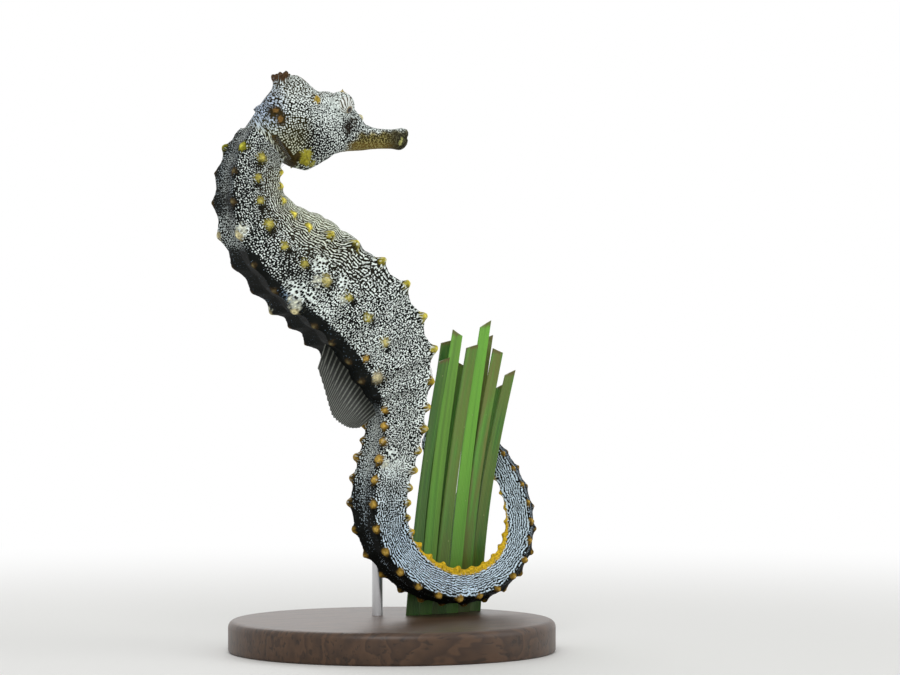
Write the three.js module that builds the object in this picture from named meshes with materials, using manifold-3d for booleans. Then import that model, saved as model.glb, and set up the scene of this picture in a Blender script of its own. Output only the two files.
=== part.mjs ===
// A seahorse at life size, holding a short tuft of seagrass with its tail, on a plain display stand.
//
// Millimetres, +Z up. The animal faces +X and its right side faces -Y. The origin is the middle of
// the stand's underside. The animal's plane of symmetry is y = 0, and only its tail leaves it.

import * as THREE from 'three';
import { LoftGeometry } from 'three/addons/geometries/LoftGeometry.js';
import { mergeVertices } from 'three/addons/utils/BufferGeometryUtils.js';
import Module from 'manifold-3d';

const wasm = await Module();
wasm.setup();

const GAP = 0.3; // air between neighbouring pieces

// The body is counted in bony rings: 0 is the top of the neck, 11 trunk rings follow, then 39 tail
// rings. Each table holds [ring, value] pairs, and the rings between are blended.
const LAST_RING = 50;
const TRUNK_END = 11;
const NECK_TOP = new THREE.Vector3(-31.4, 0, 110.6);
const NECK_HEADING = -34.6; // degrees from straight down, forwards positive
const STEPS_PER_RING = 20;

const TURN = [ // degrees that the body bends forwards over one ring
  [0, 14], [2, 17.6], [4, 17.2], [6, 5.2], [8, -8.8], [10, -10], [12, -9.8], [14, -11],
  [16, 2.6], [18, 14.5], [20, 16], [22, 12.6], [24, 10.6], [26, 13], [28, 16.8], [30, 15.5],
  [32, 10.2], [34, 7], [36, 13], [38, 26], [41, 34], [46, 31], [50, 26],
];
const DRIFT = [[20, 0], [24, 12], [28, 18], [34, 18], [37, 6], [50, 6]]; // degrees towards +Y
const RING_LENGTH = [
  [0, 3.7], [4, 5.4], [10, 7], [13, 3.9], [17, 4.4], [24, 5.2], [34, 3.9], [38, 2.9], [50, 1.3],
];
const DEPTH = [ // from the upper (superior) ridges to the lower (inferior) ones
  [0, 10], [1, 10.8], [3, 13.2], [5, 17.6], [7, 21.2], [9, 21.8], [11, 18.8], [12, 14.5],
  [13, 10.9], [15, 9.7], [18, 9.9], [21, 8.2], [24, 7], [28, 6.7], [32, 5.4], [34, 4.8],
  [38, 3.6], [44, 2.2], [50, 1.1],
];
const WIDTH = [ // between the two upper ridges
  [0, 8.6], [3, 10.2], [5, 10.8], [7, 12], [9, 13], [11, 11.6], [13, 9.2], [15, 8.8], [18, 8.3],
  [21, 6.8], [24, 6.2], [28, 6], [32, 4.9], [34, 4.4], [38, 3.4], [44, 2.1], [50, 1.1],
];
// Degrees that a ring tips out of square, and degrees that the back turns to -Y.
const LEAN = [[0, -10], [5, -13], [8, -10], [11, -1], [14, 4], [17, 0]];
const ROLL = [[13, 0], [18, 12], [24, 14], [29, 38], [34, 34], [40, 20]];
// Height of a tubercle on its ridge.
const TUBERCLE = [[0, 0.4], [2, 0.55], [7, 0.75], [16, 0.65], [30, 0.45], [35, 0.2], [38, 0]];
const LARGE_TUBERCLE_RINGS = [1, 4, 7, 11, 16];
const LARGE_TUBERCLE = 1.35; // times the height of the others

// Half a ring seen along the body, from the middle of the back to the middle of the belly. Each
// pair is [up in half depths, out in half widths].
const TRUNK_SECTION = [
  [0.92, 0], [1, 1], [0.58, 1.14], [0.12, 1.25], [-0.45, 1.13], [-1, 0.9], [-1.06, 0.45], [-1.09, 0],
];
const FULL_SECTION = [ // where the belly is fullest, and bulges between its two ridges
  [0.92, 0], [1, 1], [0.58, 1.14], [0.12, 1.25], [-0.32, 1.19], [-0.74, 0.94], [-1.22, 0.56], [-1.4, 0],
];
const TAIL_SECTION = [
  [0.88, 0], [1, 1], [0.5, 0.96], [0, 0.97], [-0.5, 0.96], [-1, 1], [-0.92, 0.5], [-0.88, 0],
];
const FULLNESS = [[1.5, 0], [3.2, 1], [5.2, 1], [8, 0]]; // of the belly, by ring
const SECTION_CHANGE = 2.5; // rings that the trunk's section takes to turn into the tail's
const RIDGE_POINTS = [1, 3, 5];
const TAIL_RIDGE_POINTS = [1, 5];
const SHOULDER = 0.28; // rings from a crest to the shoulder on each side of it
const GROOVE = 0.5; // rings from a crest to the groove after it
const GROOVE_SIZE = 0.96; // against the crests
const SMOOTH_FROM = 38; // the ring from which the tail has no crests
const CUT_MARGIN = 0.1; // rings kept free of crests beside a cut

// Where the body is parted, in rings.
const BODY_PIECES = [
  ['neck', 0, 2.5],
  ['trunk_upper', 2.5, 5.5],
  ['trunk_middle', 5.5, 8.5],
  ['trunk_lower', 8.5, 12.5],
  ['tail_1', 12.5, 16.5],
  ['tail_2', 16.5, 20.5],
  ['tail_3', 20.5, 24.5],
  ['tail_4', 24.5, 28.5],
  ['tail_5', 28.5, 32.5],
  ['tail_6', 32.5, 37.5],
  ['tail_tip', 37.5, LAST_RING],
];

// The head has its own frame: x forwards along the snout, z up, origin between the eyes.
const HEAD_AT = new THREE.Vector3(-14.1, 0, 118.1);
const HEAD_SIDES = 20; // points round a section of the head
// Each station is the profile above, the profile below and the half width, from nape to mouth.
const HEAD_STATIONS = [
  { top: [-21.4, -4.7], under: [-13.2, -10.3], half: 4.5, square: 2.1 },
  { top: [-18.9, -1.2], under: [-9.8, -12.3], half: 5.1, square: 2.1 },
  { top: [-16.3, 2.5], under: [-6.6, -13.0], half: 5.6, square: 2.2 },
  { top: [-13.6, 5.7], under: [-3.4, -11.4], half: 5.8, square: 2.2 },
  { top: [-10.6, 6.7], under: [-0.8, -9.5], half: 5.6, square: 2.2 },
  { top: [-6.2, 5.6], under: [1.4, -8.8], half: 5.2, square: 2.3 },
  { top: [-1.6, 4.5], under: [3.4, -8.5], half: 4.7, square: 2.4 },
  { top: [2.2, 3.0], under: [5.0, -8.4], half: 3.9, square: 2.4 },
  { top: [5.0, 0.2], under: [6.4, -8.3], half: 3.2, square: 2.3 },
  { top: [7.0, -2.4], under: [8.0, -8.1], half: 2.7, square: 2.2 },
  { top: [10.4, -3.3], under: [10.8, -7.8], half: 2.3, square: 2.1 },
  { top: [14.0, -3.4], under: [14.0, -7.7], half: 2.15, square: 2.1 },
  { top: [16.4, -3.0], under: [16.0, -8.0], half: 2.4, square: 2.1 },
  { top: [17.6, -3.2], under: [17.0, -7.5], half: 2.0, square: 2.1 },
];
const SNOUT_STARTS = 8.6; // x where the snout is parted from the head

const EYE = { at: [0, 4.9, 1.2], radius: 2.2 };
const EYE_MOUND = { at: [-0.3, 3.9, 1.2], radius: 3.1 };
const GILL_COVER = { at: [-6.6, 1.6, -3.6], radii: [8.4, 5, 7.9], pitch: 18 };
const GILL_SEGMENTS = 16;
const EYE_SEGMENTS = 16;
const SOCKET_SEGMENTS = 14;
const CORONET = { // radii at the foot, waist and points
  at: [-12.0, 0, 5.4],
  height: 2.8,
  foot: 2.4,
  waist: 1.8,
  waistUp: 0.55, // share of the height
  points: 5,
  pointRadius: 2.2,
  notch: 0.5, // depth between two points
  notchRadius: 1.9,
  tilt: -18,
};
// In turn: on the nose, above the eye, behind the eye, two on the shoulder, and under the cheek.
const HEAD_SPINES = [
  { at: [5.0, 0, -1.5], towards: [1, 0, 0.9], length: 1.8, radius: 1.2, paired: false },
  { at: [-0.1, 3.9, 3.2], towards: [0.1, 0.35, 1], length: 2.4, radius: 1.1, paired: true },
  { at: [-7.0, 4.6, 2.8], towards: [-0.1, 1, 0.35], length: 1.8, radius: 1.1, paired: true },
  { at: [-16.8, 3.0, 0.2], towards: [-0.5, 1, 0.1], length: 1.9, radius: 1.2, paired: true },
  { at: [-15.4, 4.0, -2.4], towards: [-0.5, 1, -0.1], length: 1.9, radius: 1.2, paired: true },
  { at: [-8.2, 3.4, -11.2], towards: [-0.2, 0.7, -1], length: 2.2, radius: 1.2, paired: true },
];
const SPINE_SIDES = 7;
const SPINE_SINK = 0.4; // depth of a spine's foot in the head
const SNOUT_CUT_SIZE = 60; // larger than the head each way
const NECK_CUT = [40, 40, 20]; // block that trims the head off at the neck

const FIN_THICKNESS = 0.55;
const FIN_RAYS = { dorsal: 18, pectoral: 12, anal: 4 };
const DORSAL_FIN = { from: 9.1, to: 13.2, height: 8.2, sweep: 34, lift: 0.35 };
const ANAL_FIN = { from: 11.3, to: 11.9, height: 3, sweep: 35, lift: 0.35 };
const FREE_EDGE = [0.12, 0.92]; // the part of a half turn that a middle fin's free edge follows
const PECTORAL_FIN = { // the feet of its first and last rays, in the head's frame
  upper: [-15.6, 5.5, -6.0],
  lower: [-11.8, 5.6, -11.4],
  length: 6.4, // of the middle rays
  shortest: 0.72, // length of the outer rays against the middle ones
  flare: 20, // degrees away from the neck
  fan: 24, // degrees that each outer ray leans away from the middle
};

const BASE = { radius: 36, thickness: 7, edge: 1.6, footEdge: 0.6, bevel: 0.5, sides: 48 };
const ROD_RADIUS = 1.2;
const ROD_SIDES = 12;
const BODY_ROD = { // meets the left flank at this ring
  ring: 10.5,
  up: -0.5,
  out: -1.1,
  standOff: 4,
  bend: 3,
  bendSteps: 6,
};
const PERCH_ROD = { foot: [17.4, 10.8], top: [20.7, 9.6, 34] }; // stands in the back row of blades

// The tuft: each blade stands on the base at foot [x, y] and leans to its own tip [x, y, z].
const BLADE_THICKNESS = 0.6;
const BLADE_FOLD = 0.35; // how far its midrib is pushed back
const BLADE_STEPS = 7;
const BLADE_TAPER = 0.12; // share of the width lost from foot to tip
const BLADES = [
  { foot: [8.4, 6.9], tip: [14.9, 3.9, 64], width: 3.0, bow: 0.8 },
  { foot: [11.9, 7.4], tip: [18.6, 4.6, 70], width: 3.2, bow: 0.6 },
  { foot: [15.5, 8.0], tip: [22.6, 5.2, 67], width: 3.3, bow: 0.5 },
  { foot: [19.1, 8.6], tip: [26.3, 5.8, 72], width: 3.1, bow: 0.6 },
  { foot: [22.7, 9.9], tip: [30.0, 6.9, 66], width: 3.2, bow: 0.9 },
  { foot: [26.3, 11.2], tip: [33.4, 7.4, 61], width: 2.9, bow: 1.2 },
  { foot: [10.4, 9.1], tip: [16.8, 6.6, 68], width: 3.1, bow: 0.3 },
  { foot: [14.2, 9.7], tip: [20.8, 7.2, 63], width: 3.2, bow: 0.2 },
  { foot: [20.9, 11.3], tip: [28.2, 8.6, 69], width: 3.3, bow: 0.3 },
  { foot: [24.5, 12.3], tip: [32.0, 9.4, 58], width: 2.8, bow: 0.5 },
];

const SKIN = new THREE.MeshStandardMaterial({ color: 0x6f7468, roughness: 0.5, metalness: 0 });
const FIN = new THREE.MeshStandardMaterial({ color: 0x8a9088, roughness: 0.4, metalness: 0 });
const EYEBALL = new THREE.MeshStandardMaterial({ color: 0x6a5426, roughness: 0.15, metalness: 0 });
const GRASS = new THREE.MeshStandardMaterial({ color: 0x5c9a3c, roughness: 0.45, metalness: 0 });
const WOOD = new THREE.MeshStandardMaterial({ color: 0x3a2a20, roughness: 0.5, metalness: 0 });
const STEEL = new THREE.MeshStandardMaterial({ color: 0x9a9c9e, roughness: 0.35, metalness: 1 });

const LEFT = new THREE.Vector3(0, 1, 0);
const FORWARDS = new THREE.Vector3(1, 0, 0);
const MERGE_WITHIN = 1e-4;

const seahorse = new THREE.Group();

// ---- helpers ----

function blend(table, at) {
  const next = table.findIndex(([place]) => place >= at);
  if (next === 0) return table[0][1];
  if (next < 0) return table[table.length - 1][1];
  const [a, low] = table[next - 1];
  const [b, high] = table[next];
  return THREE.MathUtils.mapLinear(at, a, b, low, high);
}

function add(name, geometry, material) {
  const mesh = new THREE.Mesh(geometry, material);
  mesh.name = name;
  seahorse.add(mesh);
  return mesh;
}

function middleOf(points) {
  const sum = new THREE.Vector3();
  for (const point of points) {
    sum.add(point);
  }
  return sum.divideScalar(points.length);
}

// A closed skin over the sections. Their points have to run anticlockwise seen from the last one.
function loft(sections) {
  const start = middleOf(sections[0]);
  const ahead = middleOf(sections[1]).sub(start);
  const winding = new THREE.Vector3();
  sections[0].forEach((point, i, all) => {
    const next = all[(i + 1) % all.length];
    winding.add(point.clone().sub(start).cross(next.clone().sub(start)));
  });
  const backwards = winding.dot(ahead) < 0;
  const ordered = backwards ? sections.map((section) => [...section].reverse()) : sections;
  return new LoftGeometry(ordered, { closed: true, capStart: true, capEnd: true });
}

function solid(geometry) {
  const bare = new THREE.BufferGeometry();
  bare.setAttribute('position', geometry.attributes.position);
  bare.setIndex(geometry.index);
  const merged = mergeVertices(bare, MERGE_WITHIN);
  return new wasm.Manifold(new wasm.Mesh({
    numProp: 3,
    vertProperties: merged.attributes.position.array,
    triVerts: new Uint32Array(merged.index.array),
  }));
}

function geometryOf(manifold) {
  const mesh = manifold.getMesh();
  const geometry = new THREE.BufferGeometry();
  geometry.setAttribute('position', new THREE.BufferAttribute(mesh.vertProperties, 3));
  geometry.setIndex(new THREE.BufferAttribute(mesh.triVerts, 1));
  geometry.computeVertexNormals();
  return geometry;
}

// ---- body ----

// The middle line and the axes of the body at each small step along it.
function growBody() {
  const frames = [];
  const centre = NECK_TOP.clone();
  let heading = NECK_HEADING;
  const step = 1 / STEPS_PER_RING;
  for (let i = 0; i <= LAST_RING * STEPS_PER_RING; i++) {
    const ring = i * step;
    const bend = THREE.MathUtils.degToRad(heading);
    const drift = THREE.MathUtils.degToRad(blend(DRIFT, ring));
    const ahead = new THREE.Vector3(Math.sin(bend), Math.tan(drift), -Math.cos(bend)).normalize();
    const square = bend + THREE.MathUtils.degToRad(blend(LEAN, ring));
    const back = new THREE.Vector3(-Math.cos(square), 0, -Math.sin(square));
    const right = new THREE.Vector3().crossVectors(back, ahead).normalize();
    const roll = THREE.MathUtils.degToRad(blend(ROLL, ring));
    frames.push({
      centre: centre.clone(),
      ahead,
      back: back.clone().multiplyScalar(Math.cos(roll)).addScaledVector(right, Math.sin(roll)),
      right: right.clone().multiplyScalar(Math.cos(roll)).addScaledVector(back, -Math.sin(roll)),
    });
    centre.addScaledVector(ahead, blend(RING_LENGTH, ring) * step);
    heading += blend(TURN, ring) * step;
  }
  return frames;
}

const bodyFrames = growBody();

function frameAt(ring) {
  const place = THREE.MathUtils.clamp(ring, 0, LAST_RING) * STEPS_PER_RING;
  const i = Math.min(Math.floor(place), bodyFrames.length - 2);
  const [a, b] = [bodyFrames[i], bodyFrames[i + 1]];
  const part = place - i;
  const mix = (key) => a[key].clone().lerp(b[key], part);
  return { centre: mix('centre'), ahead: mix('ahead'), back: mix('back'), right: mix('right') };
}

// A point of the body at a ring: up in half depths, out (to the right) in half widths.
function bodyPoint(ring, up, out, lift = 0) {
  const frame = frameAt(ring);
  const offset = new THREE.Vector3()
    .addScaledVector(frame.back, up * blend(DEPTH, ring) / 2)
    .addScaledVector(frame.right, out * blend(WIDTH, ring) / 2);
  const length = offset.length();
  return frame.centre.clone().addScaledVector(offset, (length + lift) / length);
}

function tubercleHeight(ring, point) {
  const ridges = ring > TRUNK_END + 1 ? TAIL_RIDGE_POINTS : RIDGE_POINTS;
  if (!ridges.includes(point)) return 0;
  const large = LARGE_TUBERCLE_RINGS.includes(ring) ? LARGE_TUBERCLE : 1;
  return blend(TUBERCLE, ring) * large;
}

// One point of the half ring, between the trunk's section, its full one and the tail's.
function sectionPoint(ring, i) {
  const full = blend(FULLNESS, ring);
  const tail = THREE.MathUtils.smoothstep(ring, TRUNK_END, TRUNK_END + SECTION_CHANGE);
  return [0, 1].map((axis) => {
    const trunk = THREE.MathUtils.lerp(TRUNK_SECTION[i][axis], FULL_SECTION[i][axis], full);
    return THREE.MathUtils.lerp(trunk, TAIL_SECTION[i][axis], tail);
  });
}

function bodySection(ring, size, raised) {
  const side = (hand) => TRUNK_SECTION.map((_, i) => {
    const [up, out] = sectionPoint(ring, i);
    return bodyPoint(ring, up * size, hand * out * size, raised ? tubercleHeight(ring, i) : 0);
  });
  return [...side(-1).slice(1, -1).reverse(), ...side(1)];
}

// A crest on every ring, with its shoulders, and a groove between it and the next one.
function bodyStations(from, to) {
  const stations = [];
  for (let ring = Math.floor(from); ring <= Math.ceil(to); ring++) {
    stations.push({ ring, size: 1, raised: true });
    if (ring <= SMOOTH_FROM) {
      stations.push({ ring: ring - SHOULDER, size: 1, raised: false });
      stations.push({ ring: ring + SHOULDER, size: 1, raised: false });
    }
    if (ring <= TRUNK_END + 1) {
      stations.push({ ring: ring + GROOVE, size: GROOVE_SIZE, raised: false });
    }
  }
  return stations
    .filter(({ ring }) => ring > from + CUT_MARGIN && ring < to - CUT_MARGIN)
    .sort((a, b) => a.ring - b.ring);
}

function bodyPiece(from, to) {
  const margin = (ring) => GAP / 2 / blend(RING_LENGTH, ring);
  const start = { ring: from + margin(from), size: GROOVE_SIZE, raised: false };
  const end = { ring: to - margin(to), size: GROOVE_SIZE, raised: false };
  const sections = [start, ...bodyStations(from, to), end]
    .map(({ ring, size, raised }) => bodySection(ring, size, raised));
  return loft(sections);
}

for (const [name, from, to] of BODY_PIECES) {
  add(name, bodyPiece(from, to), SKIN);
}

// ---- head ----

function headSection({ top, under, half, square }) {
  const above = new THREE.Vector3(top[0], 0, top[1]);
  const below = new THREE.Vector3(under[0], 0, under[1]);
  const middle = above.clone().add(below).multiplyScalar(0.5);
  const rise = above.clone().sub(middle);
  const power = 2 / square;
  const points = [];
  for (let i = 0; i < HEAD_SIDES; i++) {
    const angle = i / HEAD_SIDES * Math.PI * 2;
    const [c, s] = [Math.cos(angle), Math.sin(angle)];
    points.push(middle.clone()
      .addScaledVector(rise, Math.sign(c) * Math.abs(c) ** power)
      .addScaledVector(LEFT, Math.sign(s) * Math.abs(s) ** power * half));
  }
  return points;
}

function ball(radii, segments, at, pitch = 0) {
  const geometry = new THREE.SphereGeometry(1, segments, Math.round(segments / 2) + 2);
  geometry.scale(...radii);
  geometry.rotateY(THREE.MathUtils.degToRad(pitch));
  geometry.translate(...at);
  return geometry;
}

function round(radius, segments, at) {
  return ball([radius, radius, radius], segments, at);
}

function spine({ at, towards, length, radius }) {
  const geometry = new THREE.ConeGeometry(radius, length, SPINE_SIDES);
  geometry.translate(0, length / 2 - SPINE_SINK, 0);
  const direction = new THREE.Vector3(...towards).normalize();
  geometry.applyQuaternion(new THREE.Quaternion().setFromUnitVectors(LEFT, direction));
  geometry.translate(...at);
  return geometry;
}

const unchanged = (at) => at;
const mirrored = ([x, y, z]) => [x, -y, z];

// A low crown that widens to five blunt points.
function coronet(grown = 0) {
  const { height, foot, waist, waistUp, points, pointRadius, notch, notchRadius } = CORONET;
  const circle = (pointAt, notchAt) => Array.from({ length: points * 2 }, (_, i) => {
    const angle = i / points * Math.PI;
    const [radius, z] = i % 2 === 0 ? pointAt : notchAt;
    const reach = radius + grown;
    return new THREE.Vector3(Math.cos(angle) * reach, Math.sin(angle) * reach, z);
  });
  const geometry = loft([
    circle([foot, -grown], [foot, -grown]),
    circle([waist, height * waistUp], [waist, height * waistUp]),
    circle([pointRadius, height], [notchRadius, height - notch]),
  ]);
  geometry.rotateY(THREE.MathUtils.degToRad(CORONET.tilt));
  geometry.translate(...CORONET.at);
  return geometry;
}

// Everything in the head's frame from one x to another.
function slab(from, to) {
  const geometry = new THREE.BoxGeometry(to - from, SNOUT_CUT_SIZE, SNOUT_CUT_SIZE);
  geometry.translate((from + to) / 2, 0, 0);
  return solid(geometry);
}

// The neck's top ring cuts the head off square, a gap away from it.
function neckCut() {
  const geometry = new THREE.BoxGeometry(...NECK_CUT);
  geometry.translate(0, 0, -NECK_CUT[2] / 2);
  const { centre, back, right } = frameAt(0);
  const up = new THREE.Vector3().crossVectors(right, back).normalize();
  if (up.z < 0) up.negate();
  const level = new THREE.Vector3().crossVectors(LEFT, up);
  geometry.applyMatrix4(new THREE.Matrix4().makeBasis(level, LEFT, up));
  const at = centre.clone().sub(HEAD_AT).addScaledVector(up, GAP / 2);
  geometry.translate(at.x, at.y, at.z);
  return solid(geometry);
}

function wholeHead() {
  const { at, radii, pitch } = GILL_COVER;
  let head = solid(loft(HEAD_STATIONS.map(headSection)));
  for (const hand of [unchanged, mirrored]) {
    head = head.add(solid(ball(radii, GILL_SEGMENTS, hand(at), pitch)));
    head = head.add(solid(round(EYE_MOUND.radius, SOCKET_SEGMENTS, hand(EYE_MOUND.at))));
  }
  for (const each of HEAD_SPINES) {
    for (const hand of each.paired ? [unchanged, mirrored] : [unchanged]) {
      head = head.add(solid(spine({ ...each, at: hand(each.at), towards: hand(each.towards) })));
    }
  }
  for (const hand of [unchanged, mirrored]) {
    head = head.subtract(solid(round(EYE.radius + GAP, SOCKET_SEGMENTS, hand(EYE.at))));
  }
  return head.subtract(neckCut());
}

const head = wholeHead();
const crown = solid(coronet());
const crownRoom = solid(coronet(GAP));
const behindSnout = slab(-SNOUT_CUT_SIZE, SNOUT_STARTS + GAP / 2);
const beforeHead = slab(SNOUT_STARTS - GAP / 2, SNOUT_CUT_SIZE);

const headPieces = {
  head: head.subtract(beforeHead).subtract(crownRoom),
  snout: head.subtract(behindSnout),
  coronet: crown,
};
for (const [name, piece] of Object.entries(headPieces)) {
  add(name, geometryOf(piece), SKIN).position.copy(HEAD_AT);
}
for (const [name, hand] of [['eye_left', unchanged], ['eye_right', mirrored]]) {
  add(name, round(EYE.radius, EYE_SEGMENTS, hand(EYE.at)), EYEBALL).position.copy(HEAD_AT);
}

// ---- fins ----

// A fan of rays, each with a foot and an end, as one thin sheet with an even thickness.
function fan(rays) {
  const sections = rays.map(({ foot, end, across }) => {
    const side = across.clone().setLength(FIN_THICKNESS / 2);
    return [
      foot.clone().sub(side),
      end.clone().sub(side),
      end.clone().add(side),
      foot.clone().add(side),
    ];
  });
  return loft(sections);
}

// A fin on the body's middle line, up the back (side = 1) or the belly (side = -1).
function middleFin({ from, to, height, sweep, lift }, count, side) {
  const edge = side > 0 ? 0 : TRUNK_SECTION.length - 1;
  const angle = THREE.MathUtils.degToRad(sweep);
  const rays = [];
  for (let i = 0; i < count; i++) {
    const part = i / (count - 1);
    const ring = THREE.MathUtils.lerp(from, to, part);
    const { ahead, back, right } = frameAt(ring);
    const foot = bodyPoint(ring, sectionPoint(ring, edge)[0], 0, lift);
    const arc = Math.PI * THREE.MathUtils.lerp(...FREE_EDGE, part);
    const out = back.clone()
      .multiplyScalar(side * Math.cos(angle))
      .addScaledVector(ahead, Math.sin(angle));
    const end = foot.clone().addScaledVector(out, height * Math.sqrt(Math.sin(arc)));
    rays.push({ foot, end, across: right });
  }
  return fan(rays);
}

// The fin behind each gill cover, spread back over the side of the neck.
function pectoralFin(hand) {
  const { length, shortest } = PECTORAL_FIN;
  const upper = new THREE.Vector3(...hand(PECTORAL_FIN.upper));
  const lower = new THREE.Vector3(...hand(PECTORAL_FIN.lower));
  const outwards = LEFT.clone().multiplyScalar(Math.sign(upper.y));
  const along = lower.clone().sub(upper).normalize();
  const backwards = new THREE.Vector3().crossVectors(along, LEFT).normalize();
  if (backwards.x > 0) backwards.negate();
  const flare = THREE.MathUtils.degToRad(PECTORAL_FIN.flare);
  const level = backwards.multiplyScalar(Math.cos(flare)).addScaledVector(outwards, Math.sin(flare));
  const across = new THREE.Vector3().crossVectors(along, level);
  const rays = [];
  for (let i = 0; i < FIN_RAYS.pectoral; i++) {
    const part = i / (FIN_RAYS.pectoral - 1);
    const foot = upper.clone().lerp(lower, part);
    const spread = THREE.MathUtils.degToRad(PECTORAL_FIN.fan * (part * 2 - 1));
    const out = level.clone().multiplyScalar(Math.cos(spread)).addScaledVector(along, Math.sin(spread));
    const reach = length * THREE.MathUtils.lerp(shortest, 1, Math.sin(Math.PI * part));
    rays.push({ foot, end: foot.clone().addScaledVector(out, reach), across });
  }
  return fan(rays);
}

add('fin_dorsal', middleFin(DORSAL_FIN, FIN_RAYS.dorsal, 1), FIN);
add('fin_anal', middleFin(ANAL_FIN, FIN_RAYS.anal, -1), FIN);
add('fin_pectoral_left', pectoralFin(unchanged), FIN).position.copy(HEAD_AT);
add('fin_pectoral_right', pectoralFin(mirrored), FIN).position.copy(HEAD_AT);

// ---- perch ----

function blade({ foot, tip, width, bow }) {
  const from = new THREE.Vector3(foot[0], foot[1], BASE.thickness + GAP);
  const to = new THREE.Vector3(...tip);
  const [front, rear] = [-BLADE_THICKNESS / 2, BLADE_THICKNESS / 2];
  const sections = [];
  for (let i = 0; i <= BLADE_STEPS; i++) {
    const part = i / BLADE_STEPS;
    const at = from.clone().lerp(to, part);
    at.x -= bow * Math.sin(Math.PI * part);
    const half = width / 2 * (1 - BLADE_TAPER * part);
    const corner = (x, y) => new THREE.Vector3(at.x + x, at.y + y, at.z);
    sections.push([
      corner(-half, front),
      corner(0, front + BLADE_FOLD),
      corner(half, front),
      corner(half, rear),
      corner(0, rear + BLADE_FOLD),
      corner(-half, rear),
    ]);
  }
  return loft(sections);
}

BLADES.forEach((each, i) => add(`perch_blade_${i + 1}`, blade(each), GRASS));

// ---- stand ----

function base() {
  const { radius, thickness, edge, footEdge, bevel, sides } = BASE;
  const profile = [
    [0, 0],
    [radius - footEdge, 0],
    [radius, footEdge],
    [radius, thickness - edge],
    [radius - bevel, thickness - bevel],
    [radius - edge, thickness],
    [0, thickness],
  ];
  const geometry = new THREE.LatheGeometry(profile.map(([r, z]) => new THREE.Vector2(r, z)), sides);
  return geometry.rotateX(Math.PI / 2);
}

// A round rod along points that run mostly upwards or sideways.
function rod(points) {
  const sections = points.map((point, i) => {
    const before = points[Math.max(i - 1, 0)];
    const after = points[Math.min(i + 1, points.length - 1)];
    const across = after.clone().sub(before).cross(FORWARDS).normalize();
    return Array.from({ length: ROD_SIDES }, (_, k) => {
      const angle = k / ROD_SIDES * Math.PI * 2;
      return point.clone()
        .addScaledVector(FORWARDS, Math.cos(angle) * ROD_RADIUS)
        .addScaledVector(across, Math.sin(angle) * ROD_RADIUS);
    });
  });
  return loft(sections);
}

// Straight up beside the tail, then round to meet the body's left flank.
function bodyRod() {
  const { ring, up, out, standOff, bend, bendSteps } = BODY_ROD;
  const flank = bodyPoint(ring, up, out);
  const y = flank.y + standOff;
  const points = [new THREE.Vector3(flank.x, y, BASE.thickness + GAP)];
  for (let i = 0; i <= bendSteps; i++) {
    const angle = i / bendSteps * Math.PI / 2;
    const level = y - bend * (1 - Math.cos(angle));
    points.push(new THREE.Vector3(flank.x, level, flank.z - bend * (1 - Math.sin(angle))));
  }
  points.push(new THREE.Vector3(flank.x, flank.y + GAP * 2, flank.z));
  return rod(points);
}

// Leans with the blades that it stands among.
function perchRod() {
  const { foot, top } = PERCH_ROD;
  return rod([new THREE.Vector3(...foot, BASE.thickness + GAP), new THREE.Vector3(...top)]);
}

add('stand_base', base(), WOOD);
add('stand_rod_body', bodyRod(), STEEL);
add('stand_rod_perch', perchRod(), STEEL);

export default seahorse;
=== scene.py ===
# A life-size seahorse on a plain stand: black skin under a fine white net, yellow
# tubercles, thin rayed fins, and its tail round a short tuft of seagrass.
import bpy
import math
import random
import numpy as np
from mathutils import Matrix, Vector, kdtree


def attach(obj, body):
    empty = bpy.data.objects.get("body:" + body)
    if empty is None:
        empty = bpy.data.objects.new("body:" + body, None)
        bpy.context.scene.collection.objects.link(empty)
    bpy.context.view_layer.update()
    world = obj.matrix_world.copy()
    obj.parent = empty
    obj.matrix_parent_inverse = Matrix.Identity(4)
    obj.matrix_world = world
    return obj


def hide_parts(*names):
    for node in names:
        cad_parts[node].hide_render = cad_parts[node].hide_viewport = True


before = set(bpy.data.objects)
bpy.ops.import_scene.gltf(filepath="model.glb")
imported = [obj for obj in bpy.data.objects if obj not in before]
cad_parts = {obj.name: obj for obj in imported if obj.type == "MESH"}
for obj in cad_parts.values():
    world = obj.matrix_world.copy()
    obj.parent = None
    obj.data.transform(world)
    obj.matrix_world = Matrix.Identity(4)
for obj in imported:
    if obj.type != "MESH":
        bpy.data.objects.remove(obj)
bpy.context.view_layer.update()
mm = 0.001
doubles = 0.002 * mm  # points closer than this are merged
bothHands = (-1, 1)  # the right side and the left, by the sign of y

cameraSetup = {
    "target": (11.37, -5.79, 68.93),  # millimetres
    "azimuth": -27,  # degrees round from the front, towards the right side
    "distance": 750,
    "lens": 136.4,
    "sensor": 36,
    "nearest": 10,
}


def linked(name, data):
    made = bpy.data.objects.new(name, data)
    bpy.context.scene.collection.objects.link(made)
    return made


def makeCamera():
    turn = math.radians(cameraSetup["azimuth"])
    backwards = Vector((math.sin(turn), -math.cos(turn), 0))
    data = bpy.data.cameras.new("camera")
    data.lens = cameraSetup["lens"]
    data.sensor_width = cameraSetup["sensor"]
    data.clip_start = cameraSetup["nearest"] * mm
    camera = linked("camera", data)
    camera.location = Vector(cameraSetup["target"]) * mm + backwards * cameraSetup["distance"] * mm
    camera.rotation_euler = backwards.to_track_quat("Z", "Y").to_euler()
    bpy.context.scene.camera = camera


makeCamera()
print("camera is set")


def deselectAll():
    if bpy.context.object and bpy.context.object.mode != "OBJECT":
        closePiece()
    bpy.ops.object.select_all(action="DESELECT")


def pick(piece):
    deselectAll()
    piece.select_set(True)
    bpy.context.view_layer.objects.active = piece


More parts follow.
